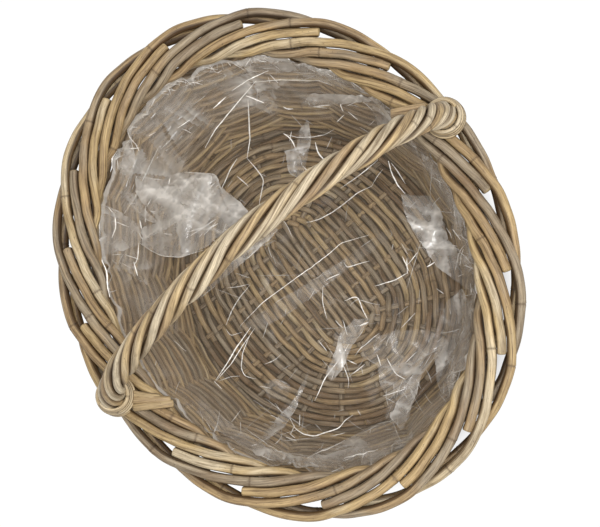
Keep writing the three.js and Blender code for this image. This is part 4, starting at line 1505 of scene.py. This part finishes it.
# More creases, shorter and fainter, at random places on the film, and small crimps at the hem.
# A crease is two straight halves with a slight bend between them.
def randomTraces(pixels, rng):
    traces = []
    rows, columns = pixels.shape[:2]
    for _ in range(creaseForm["randomCount"]):
        row = int(rows * rng.uniform(*creaseForm["randomRows"]) ** creaseForm["randomBias"])
        start = pixels[min(row, rows - 3), rng.integers(columns)]
        way, half = rng.uniform(0, fullTurn), rng.uniform(*creaseForm["randomLength"]) / 2
        bend = way + rng.normal(0, creaseForm["randomBend"])
        middle = start + half * wayAt(way)
        strength = rng.uniform(*creaseForm["randomStrength"])
        traces.append((strength, start, middle, middle + half * wayAt(bend)))
    x, y = pixels[-1].T
    (leftX, leftY), (topX, topY) = creaseForm["crimpedLeft"], creaseForm["crimpedTop"]
    crimped = np.nonzero((x < leftX) & (y < leftY) | (x >= leftX) & (x < topX) & (y < topY))[0]
    for _ in range(creaseForm["crimps"]):
        column = rng.choice(crimped)
        low = rows - 1 - rng.integers(*creaseForm["crimpFoot"])
        high = rows - 1 - rng.integers(*creaseForm["crimpHead"])
        beside = (column + rng.integers(*creaseForm["crimpShift"])) % columns
        traces.append((rng.uniform(*creaseForm["crimpStrength"]), pixels[low, column], pixels[high, beside]))
    return traces


filmFinish = {
    # noises: scale per metre, detail, roughness and stretch
    "soft": (34, 3.0, 0.6, (1, 1, 1)),
    "fine": (210, 2.0, 0.6, (1, 0.35, 1)),
    "wrinkle": (48, 2.0, 0.45, (1, 0.5, 0.7)),
    "softShare": 0.9,
    "fineShare": 0.5,
    "wrinkleShare": 0.3,
    "wrinkleSharpness": 26,
    "evenShare": 0.22,
    "edgeBlend": 0.35,
    "edgeCover": 0.16,  # where the film is seen edgeways
    "hazeColor": linear(0.93, 0.91, 0.88),
    "hazeStops": (0.10, 0.42),
    "refraction": 1.5,
    # kinds of film: tint, roughness, gain of the cover and glow, which is a painted glint
    "clearFilm": (linear(0.84, 0.76, 0.66), 0.16, 1.0, 0.0),
    "foldedFilm": (linear(0.88, 0.85, 0.81), 0.14, 1.0, 0.0),
    # Creases are white where folding whitens the film, and painted glints besides: they glow a little.
    "creaseWhiteningAndGlint": (linear(0.99, 0.98, 0.96), 0.2, 1.5, 0.22),
}


# Film: it covers what lies behind by its haze, times an uneven noise with thin wrinkles where a
# noise passes its mean, and a little more where it is seen edgeways.
def filmMaterial(name):
    tint, rough, gain, glow = filmFinish[name]
    material, tree, surface = newMaterial(name)
    haze = markOf(tree, "haze")
    place = addNode(tree, "ShaderNodeTexCoord").outputs["Object"]
    soft, fine, wrinkle = (noise(tree, place, *filmFinish[kind]) for kind in ("soft", "fine", "wrinkle"))
    offMean = times(tree, mathNode(tree, "ABSOLUTE", fromMean(tree, wrinkle)), filmFinish["wrinkleSharpness"])
    thin = mathNode(tree, "SUBTRACT", 1.0, offMean, True)
    uneven = times(tree, soft, filmFinish["softShare"])
    uneven = mathNode(tree, "ADD", uneven, times(tree, fine, filmFinish["fineShare"]))
    uneven = mathNode(tree, "ADD", uneven, times(tree, thin, filmFinish["wrinkleShare"]))
    cover = times(tree, haze, mathNode(tree, "ADD", uneven, filmFinish["evenShare"]))
    facing = addNode(tree, "ShaderNodeLayerWeight")
    facing.inputs["Blend"].default_value = filmFinish["edgeBlend"]
    cover = mathNode(tree, "ADD", cover, times(tree, facing.outputs["Facing"], filmFinish["edgeCover"]))
    tree.links.new(mathNode(tree, "MULTIPLY", cover, gain, True), surface.inputs["Alpha"])
    color = ramp(tree, haze, *zip(filmFinish["hazeStops"], (tint, filmFinish["hazeColor"])))
    tree.links.new(color, surface.inputs["Base Color"])
    surface.inputs["Roughness"].default_value = rough
    surface.inputs["IOR"].default_value = filmFinish["refraction"]
    # The glow is a painted glint; only the creases have one.
    surface.inputs["Emission Color"].default_value = tint
    surface.inputs["Emission Strength"].default_value = glow
    return material


# Net of a folded part: its closed outline, evenly divided, is filled with corners on a jittered
# grid, and all are joined by Delaunay triangles.
def foldNet(outline, run, rng):
    count = max(int(run[-1] / foldForm["rimStep"]), foldForm["leastRim"])
    rim = atRuns(outline, run, np.linspace(0, run[-1], count, endpoint=False))
    rim = rim + rng.normal(0, foldForm["rimJitter"], rim.shape)
    low, high = rim.min(0), rim.max(0)
    step, jitter = foldForm["net"], foldForm["netJitter"]
    across, down = np.meshgrid(np.arange(low[0], high[0], step), np.arange(low[1], high[1], step))
    inside = np.stack([across.ravel(), down.ravel()], 1)
    inside = inside + rng.uniform(-jitter, jitter, inside.shape) * step
    corners = [Vector(place) for place in np.concatenate([rim, inside])]
    edges = [(index, (index + 1) % count) for index in range(count)]
    places, _, faces, *_ = geometry.delaunay_2d_cdt(
        corners, edges, [list(range(count))], 1, foldForm["mergeWithin"])
    triangles = np.array([face for face in faces if len(face) == 3])
    return rim, np.array([list(place) for place in places]), triangles


# Pleats of a folded part fan out from a few knots. Each is hazy and high at one sharp edge and
# fades evenly to its other side, and their sums are the haze and the height of a corner. Creases
# lie along some of them, if all of a crease is inside the part.
def foldPleats(pixels, size, haze, rng):
    shade, lift, creases = np.full(len(pixels), foldForm["shade"]), np.full(len(pixels), foldForm["lift"]), []
    knots = pixels[rng.integers(len(pixels), size=foldForm["knots"])]
    for _ in range(int(foldForm["pleats"] * (foldForm["pleatStart"] + size / foldForm["pleatReachOf"]))):
        place = pixels[rng.integers(len(pixels))]
        fromKnot = place - knots[rng.integers(len(knots))] + rng.normal(0, foldForm["knotSpread"], 2)
        forward = wayAt(math.atan2(fromKnot[1], fromKnot[0]) + rng.normal(0, foldForm["pleatTurn"]))
        place = place + rng.normal(0, foldForm["pleatShift"], 2)
        aside = leftOf(forward) * rng.choice((-1, 1))
        reach, width = rng.uniform(*foldForm["pleatReach"]) * size, rng.uniform(*foldForm["pleatWidth"])
        strength = rng.uniform(*foldForm["pleatStrength"])
        along, off = (pixels - place) @ forward / reach, (pixels - place) @ aside / width
        ends = np.clip(foldForm["pleatEnd"] * (1 - np.abs(along)), 0, 1)
        pleat = strength * np.where((off > 0) & (off < 1), 1 - off, 0) * ends
        shade += pleat
        lift += foldForm["pleatLift"] * pleat
        places = np.array(foldForm["creasePlaces"])[:, None]
        line = place + places * reach * rng.uniform(*foldForm["creaseReach"]) * forward
        gaps = np.linalg.norm(line[:, None] - pixels, axis=2).min(1)
        inside = (gaps < foldForm["creaseInside"] * foldForm["net"]).all()
        if rng.random() < foldForm["creasedShare"] and inside:
            bright = foldForm["creaseStrength"] * strength * min(foldForm["creaseHaze"] + haze, 1)
            creases.append((bright, *(line + rng.normal(0, foldForm["creaseJitter"], line.shape))))
    return shade, lift, creases


# Short creases of a folded part, about along its longer way, and more along its outline.
def foldStrokes(outline, run, rim, pixels, size, haze, rng):
    creases = []
    bright = min(foldForm["strokeHaze"] + haze, 1)
    lengthways = np.linalg.svd(rim - rim.mean(0), full_matrices=False)[2][0]
    main = math.atan2(lengthways[1], lengthways[0])
    for _ in range(int(foldForm["strokes"] * size * haze)):
        start, way = pixels[rng.integers(len(pixels))], main + rng.normal(0, foldForm["strokeTurn"])
        end = start + rng.uniform(*foldForm["strokeLength"]) * wayAt(way)
        if np.linalg.norm(end - pixels, axis=1).min() < foldForm["net"]:
            strength = rng.uniform(*foldForm["strokeStrength"]) ** foldForm["strokeBias"]
            creases.append((strength * bright, start, end))
    shortest, longest = foldForm["edgeLength"]
    for _ in range(int(run[-1] / foldForm["edgeEvery"])):
        first = rng.uniform(0, run[-1] - longest)
        stations = np.linspace(first, first + rng.uniform(shortest, longest), foldForm["edgePlaces"])
        strength = rng.uniform(*foldForm["edgeStrength"])
        creases.append((strength * bright, *atRuns(outline, run, stations)))
    return creases


# A folded-over part of the film: the film's own places under its net, lifted towards the camera by
# its pleats. Its creases are returned beside it.
def foldPiece(number, trace, finder, material, rng):
    haze, *outline = trace
    outline = np.array([*outline, outline[0]], float)
    run = runAlong(outline)
    rim, pixels, faces = foldNet(outline, run, rng)
    size = np.linalg.norm(rim - rim.mean(0), axis=1).max()
    shade, lift, creases = foldPleats(pixels, size, haze, rng)
    creases += foldStrokes(outline, run, rim, pixels, size, haze, rng)
    points = finder.at(pixels) + viewBack * np.minimum(lift, foldForm["highest"])[:, None]
    sizes = np.full(len(faces), 3)
    marks = {"haze": haze * shade}
    return makePiece(f"film_fold_{number:02d}", points, faces.ravel(), sizes, marks, material), creases


# Haze of the sheet: a level that rises up the wall, more at the hem, more over the middle of the
# floor as a painted glare that lightens it, and the veil of the crumples. The wall's haze and the
# veil are stronger where the photograph is cloudy.
def filmHaze(surface, far, veil):
    height = surface[..., 2]
    start, rise = film["wallFade"]
    onWall = np.clip((height - film["floor"] - start) / rise, 0, 1)
    depth, rise = film["hemFade"]
    haze = film["floorHaze"] + (film["wallHaze"] - film["floorHaze"]) * onWall
    haze = haze + film["hemHaze"] * np.clip((height - film["hem"] + depth) / rise, 0, 1)
    haze = haze + film["middleGlareHaze"] * np.clip(1 - far / film["middleReach"], 0, 1)
    pixels = toPixels(surface)
    (low, above), (left, beyond) = film["cloudTop"], film["cloudRight"]
    upwards, rightwards = (low - pixels[..., 1]) / above, (pixels[..., 0] - left) / beyond
    cloudy = np.clip(np.maximum(upwards, rightwards), 0, 1)
    onFloor, inClear = film["veilOnFloor"], film["veilInClear"]
    veil = veil * (onFloor + (1 - onFloor) * onWall) * (inClear + (1 - inClear) * cloudy)
    return haze + film["cloudHaze"] * cloudy * onWall + veil


# The sheet as one mesh: a corner in the middle, a fan of triangles round it, and rings of
# four-sided faces from there to the hem.
def filmSheet(surface, haze, material):
    rows, columns = haze.shape
    centre = np.array([[0, 0, surface[1, :, 2].mean()]])
    points = np.concatenate([centre, surface[1:].reshape(-1, 3)])
    quads = 1 + wrappedQuads(rows - 1, columns)[:, [0, 3, 2, 1]]
    ring = np.arange(columns)
    fan = np.stack([np.zeros(columns, int), 1 + ring, 1 + (ring + 1) % columns], 1)
    corners = np.concatenate([quads.ravel(), fan.ravel()])
    sizes = np.concatenate([np.full(len(quads), 4), np.full(len(fan), 3)])
    marks = {"haze": np.concatenate([haze[:1, 0], haze[1:].ravel()])}
    return makePiece("film_sheet", points, corners, sizes, marks, material)


# The liner: the sheet, the folded parts that lie on it and all of its creases. The normals carry
# the sheet's crumples inwards.
def makeFilm():
    rng = np.random.default_rng(film["seed"])
    angle, plain = filmSurface()
    lift, veil, far = crumple(plain, angle, rng)
    surface = plain + surfaceNormals(plain) * lift[..., None]
    clear, folded, bright = (filmMaterial(name) for name in ("clearFilm", "foldedFilm", "creaseWhiteningAndGlint"))
    sheet = filmSheet(surface, filmHaze(surface, far, veil), clear)
    placePiece(sheet, "clear_film", "liner_film")
    finder = FilmFinder(surface)
    folds = [foldPiece(index + 1, trace, finder, folded, rng) for index, trace in enumerate(foldTraces)]
    extras = [piece for piece, _ in folds]
    traces = creaseTraces + [crease for _, creases in folds for crease in creases]
    points, corners, haze = creaseRibbons(finder, traces + randomTraces(finder.pixels, rng), rng)
    sizes = np.full(len(corners), 4)
    extras.append(makePiece("film_creases", points, corners.ravel(), sizes, {"haze": haze}, bright))
    for piece in extras:
        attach(piece, "root")


makeFilm()
print("film laid")

bpy.context.view_layer.update()
